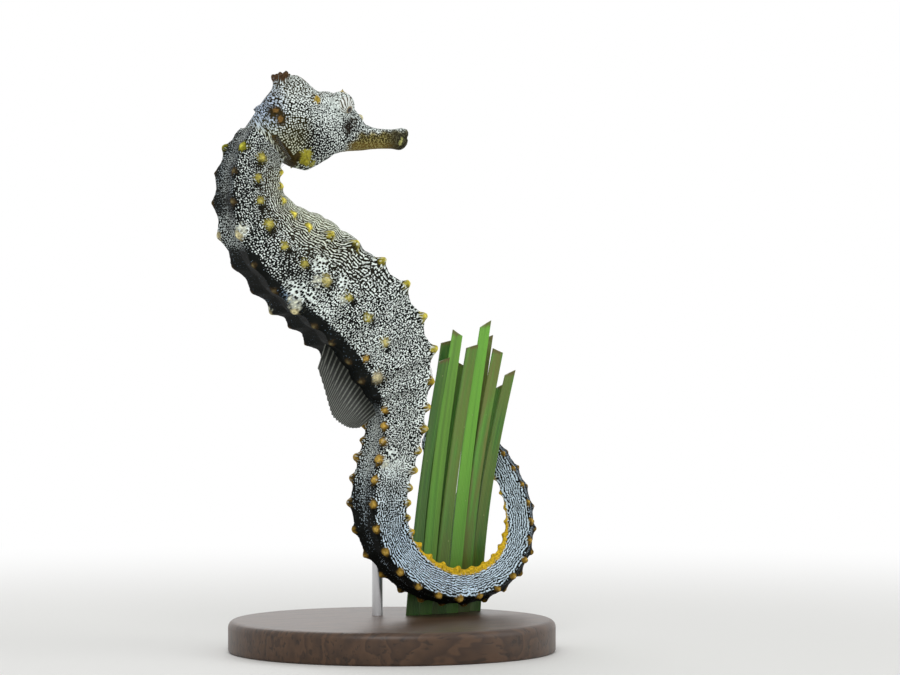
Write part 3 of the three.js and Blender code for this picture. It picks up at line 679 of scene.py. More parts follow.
# the skin's markings: lists of (ring, how much) unless a note says otherwise
markings = {
    "marks": 0.5,  # spacing of the white marks, millimetres
    "fineness": [(0, 1.4), (3, 1.3), (5, 1.12), (9, 1.0), (21, 1.12), (50, 1.15)],  # how many more of them
    "headScale": 0.8,  # the head's marks are a little larger
    "cheekScale": 0.92,
    "bellyScale": 0.8,
    "headMiddle": [(-18, -1), (-6, -3), (4, -3.4), (9, -4.3), (18, -4.6)],  # x and z of its middle line
    "headSize": [(-20, 5), (-14, 7), (-8, 8), (0, 7), (4, 4.4), (8, 2.6), (18, 2.2)],  # x, and half its width
    "share": [(0, 0.26), (3, 0.28), (5, 0.29), (6.8, 0.29), (8, 0.35), (14, 0.37), (17, 0.35), (20, 0.42),
              (22, 0.46), (30, 0.48), (38, 0.44), (50, 0.36)],  # share of white
    "backBareAndShade": [(0, 0.06), (2.5, 0.08), (2.9, 0.3), (3.2, 0.3), (3.6, 0), (4.3, 0.02), (4.8, 0.62),
                 (12, 0.62), (12.9, 0.02), (16.6, 0.02), (18, 0.26), (19.2, 0.7), (20.2, 1.1), (27, 1.1),
                 (30, 0.4), (50, 0.1)],  # how much less of it the back has: partly its own colour, partly painted shade where the back's face turns from the light, deepest on the tail's bend
    "long": [(0, 0.15), (3, 0.25), (5, 0.2), (7, 0.1), (12, 0.1), (17, 0.25), (20, 0.66),
             (50, 0.72)],  # how far the marks draw out to lines
    "frontLong": [(1, 0), (2, 1), (7, 1), (9, 0)],  # and further in front of the trunk's side ridge
    "keelLong": [(1, 0), (3, 1), (7, 1), (9, 0)],  # and beyond the belly's two
    "dots": [(0, 0.2), (3, 0.45), (6, 0.75), (10, 0.4), (14, 0.3), (50, 0.3)],  # or break up into dots
    "fade": {"palePatches": 1.6, "lace": 1.4, "cream": 1.7, "headBlots": 1.9},  # gone at this many radii
    "bodyShades": [  # ring, height in half depths, radius in millimetres, more or less white
        (6.1, 0.4, 3.5, -0.1), (7.3, 0.1, 3.2, 0.1), (7.85, 0.68, 3.2, 0.14), (8.7, 0.42, 2.6, -0.06),
        (9.9, 0.3, 4.0, 0.07), (4.6, -0.2, 3.5, 0.05), (16.0, 0.1, 3.6, 0.08), (21.6, 0.3, 4, 0.06),
    ],
    "headShades": [  # x and z in the head's frame, radius, more or less white; lighter on the brow and top and darker low and behind on the cheek, painted light and shade over the head's own pattern
        (-4.8, -1.6, 3.4, 0.15), (-1.0, 1.6, 3.6, 0.3), (-11.6, -4.0, 3.6, -0.12), (-7.5, -8.4, 3.6, -0.24),
        (-9.5, 4.0, 4.0, 0.1), (3.2, -1.0, 2.2, 0.08), (-14, 1.5, 2.5, 0.09), (-18, -4, 3, 0.12),
        # the next one thins the white under the eye: painted shadow of the eye
        (1.9, -2.9, 1.6, -0.2),
    ],
    "headShare": 0.33,
    "cheekMiddle": (-5.4, -2.0),  # x and z in the head's frame, where the cheek's rows start
    "cheekReach": (3.0, 11.5),  # how far they run out from it
    "cheekFront": 6.5,  # and no further forwards or up
    "cheekTop": 4.8,
    "cheekZones": [(2.6, 4.0), (4.2, 5.6), (5.8, 7.6), (8.2, 10)],  # where each starts, and its scale round
    "bellyZone": {"from": 1, "to": 8.7, "top": -0.15},  # rings, and half depths
    "throatFrom": 0.31,  # share of the way round the head from its top
    "frontFrom": 0.75,  # how squarely the head's front and rear face along it
    "noLap": 10,  # metres, so far round that nothing laps
    "zoneStep": 0.37,  # metres between one zone's marks and the next one's
    "lace": [  # white with dark round holes: ring, up, out, radius
        (6.5, 0.68, 1.08, 3.4), (6.5, -0.1, 1.2, 2.9), (7.5, -0.1, 1.2, 2.0), (7.05, 0.55, 1.16, 2.2),
        (15.5, 0.35, 0.97, 2.2), (3.9, 0.86, 1.1, 1.8),
    ],
    "holes": 1.45,  # their spacing against the marks'
    "palePatches": [  # ring, up, out, radius, more white
        (16.1, 0.3, 0.98, 2.6, 0.3), (15.9, -0.5, 0.98, 2.2, 0.16), (24.5, 0.7, 0.95, 2.0, 0.2),
        (5.6, -0.6, 1.05, 2.4, 0.1),
    ],
    "behindSide": [(1, 0.34), (10, 0.3), (30, 0.26)],  # how many rings a dark spot lies behind a tubercle
    "behindDark": 0.42,
    "behindReach": 1.5,  # millimetres, for size 1
    "roundBack": [(1, 0.25), (4, 0.1), (5, 0.5), (8, 0.5)],  # how dark it is round one of the back's
    "roundReach": 2.4,
    "stripe": [(18, 0), (19.5, 1), (32, 1), (34, 0)],  # the yellow one inside the bend of the tail
    "stripeEdge": [(18, 1.1), (20.5, 0.72), (23.5, 0.42), (28, 0.42), (31, 0.72), (34, 1.1)],  # half depths
    "tailCool": [(16, 0), (20, 1), (36, 0.8), (50, 0.6)],  # the tail's marks are cooler
    "frontWarm": [(0, 0), (2, 0.8), (6, 0.8), (8, 0)],  # the trunk's front ones warmer
    "backBlueAndShade": [(0, 0.5), (3.2, 0.7), (3.6, 0.25), (4.3, 0.25), (4.8, 1), (12, 1), (13, 0.3), (17, 0.3),
                 (20, 0.8), (30, 0.7)],  # and the back's are blue, and dimmed as painted shade
    "brown": [(0, 0.5), (2, 1), (6, 0.7), (9, 0)],  # how brown the trunk is between its front ones
    "cream": [  # soft pale paint round some tubercles: ring, up, out, radius
        (6.8, 0.92, 1.1, 1.9), (6.8, 0.22, 1.26, 1.3), (3.9, 0.92, 1.1, 1.5), (16.1, 0.6, 0.98, 1.1),
        (7.9, 0.22, 1.26, 1.0),
    ],
    "headBlots": [  # place in the head's frame, radius, tint, cover
        ((-15.9, 4.2, -0.5), 1.45, "nape", 0.98), ((-14.9, 4.8, -2.1), 1.3, "nape", 0.98),
        ((-15.8, 4.1, -0.3), 0.65, "napeSpot", 1), ((-15.0, 4.9, -2.3), 0.75, "napeSpot", 1),
        # the dark patches under and before the eye are painted shadow of the eye
        ((1.2, 4.4, -3.7), 1.5, "underEyeShadow", 0.6), ((2.5, 3.8, -2.2), 1.3, "beforeEyeShadow", 0.42),
        ((-8.9, 4.4, -10.0), 1.4, "chin", 0.9), ((-8.6, 4.2, -11.2), 1.2, "chinLow", 0.9),
        ((-6.4, 3.4, -12.0), 1.0, "chinFront", 0.9), ((-10.4, 4.3, -10.2), 1.0, "chinRear", 0.9),
        ((-6.5, 4.9, 2.2), 0.85, "headKnob", 1), ((6.6, 0.2, -0.8), 1.0, "noseKnob", 1),
        ((-7.2, 0.6, 6.8), 1.3, "crownFoot", 0.5),
        ((15.4, 2.2, -5.5), 0.3, "lip", 0.9), ((15.2, 2.2, -6.1), 0.32, "lip", 0.9),
        ((15.1, 2.0, -6.7), 0.28, "lip", 0.9), ((0.1, 4.5, 4.5), 0.8, "browKnob", 1),
    ],
    "crownEdge": [(-15, 6.4), (-13, 6.8), (-10.8, 7.5), (-10, 8.6)],  # x and z of the brown knobs' lower edge
    "gillEdge": [(-16.2, -6.2), (-14.9, -7.6), (-13.7, -8.6), (-12.2, -10.1), (-10.6, -11.8)],  # x and z
    "snoutEdge": [(6, 4.7), (10, 4.4), (12.5, 4.0), (18, 3.8)],  # x, and how far down the olive part starts
    "tints": {
        "black": (0.006, 0.007, 0.006), "white": (0.88, 0.97, 0.93), "cool": (0.68, 0.86, 1.0),
        # blue is the back's marks, dark as painted shade
        "blue": (0.16, 0.23, 0.31), "warm": (0.8, 0.86, 0.7),
        "napeMarks": (0.58, 0.7, 0.86), "jawMarks": (0.6, 0.62, 0.42), "snoutMarks": (0.3, 0.25, 0.055),
        # the snout's tip, its marks and its ground, is darkened as painted shade
        "shadedSnoutTipMarks": (0.09, 0.085, 0.045), "brown": (0.034, 0.027, 0.011), "keel": (0.1, 0.1, 0.05),
        "brow": (0.035, 0.028, 0.011), "jaw": (0.03, 0.027, 0.009), "snout": (0.045, 0.035, 0.01),
        "snoutUnder": (0.15, 0.1, 0.022), "shadedSnoutTip": (0.022, 0.02, 0.012),
        "stripe": (0.6, 0.39, 0.02), "cream": (0.62, 0.64, 0.52),
        "crown": (0.075, 0.042, 0.02), "gill": (0.045, 0.03, 0.007), "nape": (0.034, 0.024, 0.008),
        "napeSpot": (0.2, 0.11, 0.03), "underEyeShadow": (0.014, 0.01, 0.006), "beforeEyeShadow": (0.024, 0.018, 0.008),
        "chin": (0.34, 0.31, 0.035), "chinLow": (0.3, 0.27, 0.03), "chinFront": (0.3, 0.29, 0.06),
        "chinRear": (0.05, 0.035, 0.01), "headKnob": (0.4, 0.28, 0.04), "noseKnob": (0.6, 0.56, 0.34),
        "crownFoot": (0.12, 0.08, 0.03), "lip": (0.42, 0.42, 0.15), "browKnob": (0.42, 0.34, 0.14),
    },
}


def byRing(name):
    return readTable(markings[name], onBody["ring"])


def aroundBody():
    # distance round the body from the belly's middle line, and once all the way round
    ring = onBody["ring"]
    deep, wide = half("depth", ring), half("width", ring)
    turn = np.arctan2(onBody["out"] / wide, -onBody["up"] / deep)

    def arc(reach):
        steps = reach[:, None] * (np.arange(24) + 0.5) / 24
        return reach * np.hypot(deep[:, None] * np.sin(steps), wide[:, None] * np.cos(steps)).mean(1)

    return arc(turn), 2 * arc(np.full(len(ring), math.pi))


def aroundHead():
    # distance round the head from its top and from its underside, and all the way round
    x, y, z = headFrame.T
    rise = z - readTable(markings["headMiddle"], x)
    size = readTable(markings["headSize"], x) * mm
    return np.arctan2(y, rise) * size, np.arctan2(y, -rise) * size, math.tau * size


def flowZones():
    # Places on the straightened skin: along, and round. The body and the head are one zone
    # each; the cheek has four more, with distances out from its middle and round it.
    headScale, cheekScale, bellyScale = (markings[key] for key in ("headScale", "cheekScale", "bellyScale"))
    pace = readTable(markings["fineness"], body["rings"])
    drawn = np.concatenate([[0], np.cumsum(np.diff(body["along"]) * (pace[1:] + pace[:-1]) / 2)])
    around, lap = aroundBody()
    fromTop, fromBelow, headLap = aroundHead()
    finer = byRing("fineness")
    zones = [np.stack([np.interp(onBody["ring"], body["rings"], drawn), around * finer], 1),
             np.stack([headFrame[:, 0] * mm, fromTop], 1) * headScale]
    laps = [lap * finer, headLap * headScale]
    x, z = (headFrame[:, axis] - middle for axis, middle in zip((0, 2), markings["cheekMiddle"]))
    reach, turn = np.hypot(x, z), np.arctan2(x - z, -x - z)
    nearest, farthest = markings["cheekReach"]
    cheek = isHead & (reach > nearest) & (reach < farthest)
    cheek &= (x < markings["cheekFront"]) & (z < markings["cheekTop"])
    chosen = np.where(isHead, 1, 0)
    for number, (inner, pace) in enumerate(markings["cheekZones"]):
        zones.append(np.stack([reach, turn * pace], 1) * mm * cheekScale)
        laps.append(np.full(len(points), math.tau * pace * mm * cheekScale))
        chosen = np.where(cheek & (reach > inner), number + 2, chosen)
    ring, up, _ = faceOfBody()
    belly = markings["bellyZone"]
    isBelly = ~isHead & (ring > belly["from"]) & (ring < belly["to"]) & (up < belly["top"])
    isThroat = isHead & ~cheek & (np.abs(fromTop) > markings["throatFrom"] * headLap)
    isFront = isHead & ~cheek & (np.abs(normalsOf(skin)[:, 0]) > markings["frontFrom"])
    extra = [  # where each holds, its places and its lap
        (isBelly, zones[0] * bellyScale, laps[0] * bellyScale),
        (isThroat, np.stack([headFrame[:, 0] * mm, fromBelow], 1) * headScale, laps[1]),
        (isFront, headFrame[:, 1:] * mm * headScale, laps[1] * 0 + markings["noLap"]),
    ]
    for where, places, lap in extra:
        chosen = np.where(where, len(zones), chosen)
        zones.append(places)
        laps.append(lap)
    return np.array(zones), np.array(laps), chosen, cheek


def writeFlow():
    # each face takes its places from one zone, so that no mark is drawn out between two
    zones, laps, chosen, cheek = flowZones()
    mesh = skin.data
    corners = readAll(mesh.loops, "vertex_index", np.int32, 1)[:, 0]
    starts, counts = (readAll(mesh.polygons, key, np.int32, 1)[:, 0] for key in ("loop_start", "loop_total"))
    lead = corners[np.repeat(starts, counts)]
    zone = chosen[lead]
    places, lap = zones[zone, corners], laps[zone, corners]
    places[:, 1] += lap * np.round((zones[zone, lead, 1] - places[:, 1]) / lap)
    flow = np.stack([places[:, 0], places[:, 1], 0 * lap], 1) + zone[:, None] * markings["zoneStep"]
    writeAttribute(skin, "flow", flow, domain="CORNER")
    return cheek


def oliveSnout():
    # 1 on the snout's plain lower part, which starts further back towards the chin
    x, _, z = headFrame.T
    edge = readTable(markings["snoutEdge"], x) + 0.3 * np.sin(2.1 * x)
    front = x - 0.65 * (z + 5) + 0.5 * np.sin(2.6 * z + 1)
    return isHead * smoothStep(front, 2.8, 5.4) * smoothStep(-z, edge - 0.6, edge + 0.6)


def closeTo(at, radius):
    # 1 at a point, falling to 0 at the radius
    return 1 - smoothStep(np.linalg.norm(points - at, axis=1), 0, radius * mm)


def closeToPatches(kind):
    # the same for each patch of a kind, on both sides of the body, with what else the patch says
    for ring, up, out, radius, *more in markings[kind]:
        for hand in bothHands:
            at, _ = pointOnBody(ring, up, out * hand)
            yield closeTo(at, radius * markings["fade"][kind]), *more


def skinTones():
    # red: share of white, green: how long the marks are, blue: how far they stand in rows,
    # alpha: how far they break up into dots
    ring, up, dorsal = faceOfBody()
    keel = beyondRidges()
    # the back has less white: partly its own colour, partly painted shade
    white = byRing("share") - dorsal * byRing("backBareAndShade") + 0.05 * smoothStep(-up, 0.3, 0.9)
    white += 0.14 * keel * (ring > 1.5)
    # the marks run longer in front of the trunk's ridge, and most of all beyond the belly's
    long = byRing("long") + 0.5 * smoothStep(-up, 0.0, 0.4) * byRing("frontLong")
    long += 0.8 * keel * byRing("keelLong")
    dots = byRing("dots") + 0.5 * dorsal
    for ringAt, upAt, radius, amount in markings["bodyShades"]:
        across = (up - upAt) * planValue("depth", ring) / 2
        near = np.hypot((ring - ringAt) * planValue("ringLength", ring), across)
        white += amount * np.exp(-(near / radius) ** 2)
    # the head
    x, _, z = headFrame.T
    middle = np.hypot(x - markings["cheekMiddle"][0], z - markings["cheekMiddle"][1])
    white = np.where(isHead, markings["headShare"], white)
    long = np.where(isHead, 0.06, long)
    dots = np.where(isHead, 0.25 + 0.7 * cheek * smoothStep(middle, 3, 5), dots)
    rows = np.where(isHead & cheek, 1, 0.2)
    # more or less white by place on the head: painted light on the brow and top, painted shade low on the
    # cheek
    for xAt, zAt, radius, amount in markings["headShades"]:
        near = np.hypot(x - xAt, z - zAt)
        white += np.where(isHead, amount * np.exp(-(near / radius) ** 2), 0)
    # the snout carries more white, a painted highlight from the light above, and less at its tip, painted
    # shade
    white += np.where(isHead, 0.14 * smoothStep(x, 5, 8) - 0.05 * smoothStep(x, 14, 16), 0)
    white -= 0.08 * oliveSnout()
    for close, amount in closeToPatches("palePatches"):
        white += amount * close
        dots = dots * (1 - close)
    # a dark spot behind each side tubercle, and round those of the back
    for ringAt, ridge, upAt, out, size in knobPlaces():
        if ridge in ("lateral", "tail"):
            at, _ = pointOnBody(ringAt + readTable(markings["behindSide"], ringAt), upAt, out)
            white -= markings["behindDark"] * closeTo(at, markings["behindReach"] * size)
        if ridge == "superior":
            at, _ = pointOnBody(ringAt, upAt - 0.05, out)
            white -= readTable(markings["roundBack"], ringAt) * closeTo(at, markings["roundReach"])
    return np.stack([white, np.clip(long, 0, 1), rows, np.clip(dots, 0, 1)], 1)


def layered(start, *coats):
    # each coat's tint covers those under it by its share
    tints = markings["tints"]
    colours = np.tile(np.array(tints[start]), (len(points), 1))
    for tint, share in coats:
        colours = colours * (1 - share[:, None]) + np.array(tints[tint]) * share[:, None]
    return colours


def markColours():
    # colour of the marks themselves, with alpha for where they close up to lace
    _, up, dorsal = faceOfBody()
    x, _, z = headFrame.T
    trunk = layered(
        "white",
        ("cool", byRing("tailCool")),
        ("warm", smoothStep(-up, -0.1, 0.7) * byRing("frontWarm")),
        # on the back the marks turn blue and dim; the dimming is painted shade
        ("blue", dorsal * byRing("backBlueAndShade")),
    )
    head = layered(
        "white",
        ("napeMarks", smoothStep(-x, 12, 16.5)),
        ("jawMarks", smoothStep(-z, 1, 7) * smoothStep(-x, 6, 11) * 0.8),
        ("snoutMarks", oliveSnout() * 0.95),
        # the marks darken at the snout's tip: painted shade
        ("shadedSnoutTipMarks", oliveSnout() * smoothStep(x, 10, 14)),
    )
    lace = np.zeros(len(points))
    for close, in closeToPatches("lace"):
        lace = np.maximum(lace, close)
    return np.concatenate([np.where(isHead[:, None], head, trunk), lace[:, None]], 1)


def groundColours():
    # colour between the marks
    _, up, dorsal = faceOfBody()
    x, _, z = headFrame.T
    trunk = layered(
        "black",
        ("brown", smoothStep(-up, -0.5, 0.7) * byRing("brown") * (1 - dorsal)),
        ("keel", beyondRidges()),
    )
    head = layered(
        "black",
        ("brow", smoothStep(z, 0, 4) * 0.9),
        ("jaw", smoothStep(-x, 7, 11) * smoothStep(-z, -1, 3)),
        ("snout", oliveSnout()),
        ("snoutUnder", oliveSnout() * smoothStep(-z, 6.0, 7.2)),
        # the ground darkens at the snout's tip: painted shade
        ("shadedSnoutTip", smoothStep(x, 12, 15.5) * smoothStep(-z, 2, 4)),
    )
    return np.concatenate([np.where(isHead[:, None], head, trunk), np.ones((len(points), 1))], 1)


def laidOn(paint, tint, cover, over=True):
    # the stronger cover wins, so patches do not mix
    wins = cover > paint[:, 3] * (0.8 if over else 1)
    tint = markings["tints"][tint] if isinstance(tint, str) else tint
    paint[wins, :3] = np.broadcast_to(tint, (len(paint), 3))[wins]
    paint[wins, 3] = cover[wins]


def paintPatches():
    # tubercles, stripe and blots, with alpha for how much of each shows
    paint = np.zeros((len(points), 4))
    ring, up, _ = faceOfBody()
    x, _, z = headFrame.T
    for ringAt, ridge, upAt, out, size in knobPlaces():
        at, away = pointOnBody(ringAt, upAt, out)
        rise, spread = tubercles["pointedPaint" if isPointed(ringAt, ridge) else "bluntPaint"]
        at = at + away * rise * mm
        tint = np.array(tubercles["ownTints"].get((ridge, ringAt), tubercles["tints"][ridge]))
        # paler at the tip and browner at the foot
        fromTip = np.linalg.norm(points - at - away * 0.5 * mm, axis=1)
        tip = 1 - smoothStep(fromTip, 0.2 * mm, 1.2 * size * mm)[:, None]
        shades = tint * (0.55 + 0.65 * tip) + np.array(tubercles["paleTip"]) * tip ** 2
        laidOn(paint, shades, closeTo(at, spread * size))
    start = byRing("stripeEdge")
    side = np.abs(onBody["out"]) / half("width", ring)
    stripe = smoothStep(-up, start, start + 0.3) * (1 - 0.4 * np.exp(-(side / 0.4) ** 2)) * byRing("stripe")
    laidOn(paint, "stripe", np.where(isHead, 0, stripe))
    for close, in closeToPatches("cream"):
        laidOn(paint, "cream", 0.7 * close)
    for place, radius, tint, most in markings["headBlots"]:
        for hand in bothHands:
            close = closeTo(np.array(headPlace(place, hand)), radius * markings["fade"]["headBlots"])
            laidOn(paint, tint, np.where(isHead, np.minimum(1.35 * close, 1) * most, 0), over=most == 1)
    # the crown's knobs are brown, and a dark line runs behind the gill cover
    rise = z - readTable(markings["crownEdge"], x)
    laidOn(paint, "crown", np.where(isHead & (x < -9), smoothStep(rise, -1.4, 0.3) * 0.85, 0))
    xs, zs = zip(*markings["gillEdge"])
    line = np.abs(x - np.interp(-z, -np.array(zs), xs))
    inside = isHead & (z < zs[0] + 0.5) & (z > zs[-1] - 0.5)
    laidOn(paint, "gill", np.where(inside, 1 - smoothStep(line, 0.4, 1.3), 0))
    return paint


cheek = writeFlow()
for name, values in (("tone", skinTones()), ("ground", groundColours()), ("light", markColours()),
                     ("paint", paintPatches())):
    writeAttribute(skin, name, values, kind="FLOAT_COLOR")


def skinMaterial():
    board = newMaterial("netted skin")
    place = board.attribute("flow")["Vector"]
    tone, ground, light, paint = (board.attribute(name) for name in ("tone", "ground", "light", "paint"))
    share, long, rows = board.node("ShaderNodeSeparateColor", {0: tone["Color"]}).outputs
    fine = 1 / (markings["marks"] * mm)
    # three kinds of mark, each a level round 0.5: dots in rows, short worms and long lines
    dots = board.line(board.cells(place, fine, board.line(rows, -0.18, 0.78)), -1.55, 1.2)
    worms = board.line(board.flatNoise(place, fine * 1.7), 2.5, -0.75)
    beads = board.line(board.flatNoise(place, fine * 1.1), 0.9, -0.45)
    lines = board.plus(board.line(board.flatLines(place, fine), 0.42, 0.5), beads)
    level = board.blend(long, board.blend(tone["Alpha"], worms, dots), lines)
    # patches of more and less white wander over the skin
    wander = board.maths("SUBTRACT", board.noise(place, 300), 0.5)
    share = board.line(wander, 0.3, share)
    mask = board.spread(board.line(share, 0.8, board.maths("SUBTRACT", level, 0.4)), 0.45, 0.56)
    # in the lace the marks close up and leave round holes
    holes = board.spread(board.cells(place, fine / markings["holes"], 0.75), 0.3, 0.42)
    inLace = board.spread(board.plus(light["Alpha"], board.line(worms, 0.5, -0.25)), 0.35, 0.5)
    mask = board.blend(inLace, mask, holes)
    uneven = board.line(board.flatNoise(place, fine * 0.45), 0.9, 0.5, clamp=True)
    base = board.mix(mask, ground["Color"], board.mix(uneven, ground["Color"], light["Color"]))
    # the paint has ragged edges and is mottled
    ragged = board.line(board.noise(place, 1250, detail=3), 1.7, -0.85)
    cover = board.spread(board.plus(paint["Alpha"], ragged), 0.14, 0.82)
    mottle = board.line(board.noise(board.objectPlace(), 2100, detail=3), 2.6, -0.28)
    full = board.mix(cover, base, board.vectorMaths("SCALE", {0: paint["Color"], 3: mottle}))
    height = board.line(mask, 0.3, board.noise(board.objectPlace(), 5200))
    return board.set(colour=full, roughness=0.6, specular=0.05, normal=board.bump(height, 0.05, 0.7))


finished(skin, skinMaterial(), "skin", *[each[0] for each in bodyPlan["pieces"]], "head", "snout", "coronet")
print("skin is painted")

eyeLook = {
    "at": (0, 4.9, 1.2),  # in the head's frame, millimetres
    "radius": 2.2,
    "cornea": 0.035,  # how far it swells over the pupil, as a share of the radius
    "gaze": (16, -31),  # degrees forwards and up
    "pupil": 0.62,  # radius, millimetres
    "ground": (0.014, 0.012, 0.008),
    "gold": (0.24, 0.17, 0.055),
    "line": (0.78, 0.84, 0.8),
    "black": (0.004, 0.004, 0.005),
    "lineSpacing": 0.72,
    "roundScale": 1.6,  # millimetres round the eye for each radian
}


def makeEye(name, hand):
    radius = eyeLook["radius"] * mm
    eye = added(bpy.ops.mesh.primitive_uv_sphere_add, name, segments=56, ring_count=36, radius=radius)
    own = pointsOf(eye)
    swell = 1 + eyeLook["cornea"] * smoothStep(own[:, 2] / radius, 0.8, 1)
    setPoints(eye, own * swell[:, None])
    bpy.ops.object.shade_smooth()
    writeAttribute(eye, "gaze", own)
    ahead, up = (math.radians(a) for a in eyeLook["gaze"])
    look = facing((math.sin(ahead), hand * math.cos(ahead) * math.cos(up), math.sin(up)))
    eye.data.transform(Matrix.Translation(headPlace(eyeLook["at"], hand)) @ look)
    return eye


def eyeMaterial():
    board = newMaterial("patterned eye")
    place = board.attribute("gaze")["Vector"]
    x, y, z = board.split(place)
    # the pupil is a little taller than wide, and only the outer half has one
    reach = board.maths("SQRT", board.plus(board.times(board.times(x, x), 1.5), board.times(y, y)))
    reach = board.plus(reach, board.times(board.maths("LESS_THAN", z, 0), 0.01))
    turn = board.line(board.maths("ARCTAN2", y, x), eyeLook["roundScale"] * mm, board.times(reach, 0.9))
    around = board.node("ShaderNodeCombineXYZ", {0: reach, 1: turn}).outputs[0]
    lines = board.flatLines(around, 1 / (eyeLook["lineSpacing"] * mm))
    broken = board.line(board.noise(place, 1500, detail=1), 1.6, -0.8)
    mask = board.spread(board.plus(lines, broken), -0.4, 0.1)
    iris = board.mix(board.noise(place, 1100, detail=3), eyeLook["ground"], eyeLook["gold"])
    full = board.mix(mask, board.mix(0.55, iris, eyeLook["ground"]), eyeLook["line"])
    # a gold ring round the pupil
    pupil = eyeLook["pupil"] * mm
    full = board.mix(board.spread(reach, pupil * 1.5, pupil * 1.25, 0, 0.9), full, eyeLook["gold"])
    full = board.mix(board.spread(reach, pupil * 1.08, pupil * 0.92), full, eyeLook["black"])
    return board.set(colour=full, roughness=0.32, coat=0.7, coatRoughness=0.05, specular=0.3)


eyeSurface = eyeMaterial()
for name, hand, node in (("left_eye", 1, "eye_left"), ("right_eye", -1, "eye_right")):
    finished(makeEye(name, hand), eyeSurface, "eye", node)
print("eyes are in")

finLook = {
    "thickness": 0.2,
    "steps": 80,  # along the foot
    # solid is how solid the skin between the rays looks
    "dorsal": {"from": 9.1, "to": 13.2, "height": 8.4, "sweep": 34, "rays": 18, "up": 0.86,
               "edge": (0.12, 0.92), "solid": 0.88},
    "anal": {"from": 11.3, "to": 11.9, "height": 2.8, "sweep": 35, "rays": 4, "up": 0.9,
             "edge": (0.12, 0.92), "solid": 0.1},
    "pectoral": {"upper": (-15.6, 5.1, -6.0), "lower": (-12.5, 5.1, -10.6), "length": 6.0, "shortest": 0.72,
                 "flare": 5, "fan": (-24, 6), "rays": 15, "solid": 0.04},
    "notch": 0.03,  # how far the edge is cut in between the rays, as a share of their length
    "wave": 0.22,  # how far the sheet waves, millimetres
    "waves": 1.6,
    "ridge": 0.07,  # height of a ray at its foot
    "skin": (0.035, 0.038, 0.034),
    "ray": (0.25, 0.265, 0.23),
    "cloud": (0.06, 0.06, 0.05),
    "joints": 11,  # in each ray
}


def middleFin(look, side):
    # foot and end of each of many fine steps along a fin of the middle line
    part = np.linspace(0, 1, finLook["steps"])
    rings = look["from"] + (look["to"] - look["from"]) * part
    angle = math.radians(look["sweep"])
    back = side * bodyAt("back", rings)
    foot = bodyAt("centre", rings) + back * (look["up"] * half("depth", rings))[:, None]
    out = back * math.cos(angle) + bodyAt("ahead", rings) * math.sin(angle)
    low, high = look["edge"]
    arc = np.pi * (low + (high - low) * part)
    height = look["height"] * mm * np.sqrt(np.sin(arc)) + (1 - look["up"]) * half("depth", rings)
    return foot, foot + out * height[:, None], bodyAt("right", rings)


def pectoralFin(look, hand):
    part = np.linspace(0, 1, finLook["steps"])
    upper, lower = (np.array(headPlace(look[key], hand)) for key in ("upper", "lower"))
    foot = upper + (lower - upper) * part[:, None]
    along = unit(lower - upper)
    backwards = np.cross(along, (0, 1, 0))
    backwards = unit(-backwards if backwards[0] > 0 else backwards)
    flare = math.radians(look["flare"])
    level = backwards * math.cos(flare) + np.array((0, hand, 0)) * math.sin(flare)
    spread = np.radians(np.interp(part, (0, 1), look["fan"]))[:, None]
    out = level * np.cos(spread) + along * np.sin(spread)
    reach = look["length"] * (look["shortest"] + (1 - look["shortest"]) * np.sin(np.pi * part)) * mm
    return foot, foot + out * reach[:, None], np.tile(unit(np.cross(along, level)), (len(part), 1))


def makeFin(name, look, foot, end, across):
    # a thin sheet, a little thicker along each ray and cut in a little between them
    rays = look["rays"]
    fin = added(bpy.ops.mesh.primitive_grid_add, name, x_subdivisions=rays * 6, y_subdivisions=14, size=1)
    along, reach, _ = (pointsOf(fin) + 0.5).T
    steps = np.linspace(0, 1, len(foot))

    def at(table):
        return np.stack([np.interp(along, steps, table[:, i]) for i in range(3)], 1)

    ray = 0.5 + 0.5 * np.cos(math.tau * rays * along)
    length = reach * (1 - finLook["notch"] * (1 - ray * smoothStep(reach, 0.6, 1)))
    wave = finLook["wave"] * np.sin(math.tau * finLook["waves"] * along + 0.8) * reach
    wave += finLook["ridge"] * ray * (1 - reach)
    setPoints(fin, at(foot) + (at(end) - at(foot)) * length[:, None] + at(across) * (wave * mm)[:, None])
    writeAttribute(fin, "fan", np.stack([along * rays, reach, look["solid"] + 0 * reach], 1))
    applyModifier(fin, "SOLIDIFY", thickness=finLook["thickness"] * mm, offset=0)
    return smoothByAngle(fin, 50)


def finMaterial():
    board = newMaterial("rayed fin")
    along, reach, clear = board.split(board.attribute("fan")["Vector"])
    # each ray forks halfway out and is jointed
    whole, forked = (board.maths("COSINE", board.times(along, count * math.tau)) for count in (1, 2))
    rays = board.blend(board.spread(reach, 0.5, 0.7), board.spread(whole, 0.35, 0.8),
                       board.spread(forked, 0.35, 0.85))
    joints = board.maths("COSINE", board.times(reach, math.tau * finLook["joints"]))
    full = board.mix(rays, finLook["skin"], finLook["ray"])
    full = board.mix(board.spread(joints, 0.7, 0.95, 0, 0.35), full, finLook["skin"])
    cloud = board.spread(board.noise(board.objectPlace(), 900, detail=3), 0.45, 0.75, 0, 0.5)
    full = board.mix(cloud, full, finLook["cloud"])
    # the outer edge and the foot are more solid
    ends = board.maths("MAXIMUM", board.spread(reach, 0.95, 0.99, 0, 0.6), board.spread(reach, 0.22, 0))
    solid = board.maths("MAXIMUM", board.times(rays, 0.42), ends)
    solid = board.blend(solid, clear, board.line(clear, 0.9, 0.32))
    return board.set(colour=full, roughness=0.35, alpha=solid, specular=0.3,
                     normal=board.bump(rays, 0.06, 0.6))


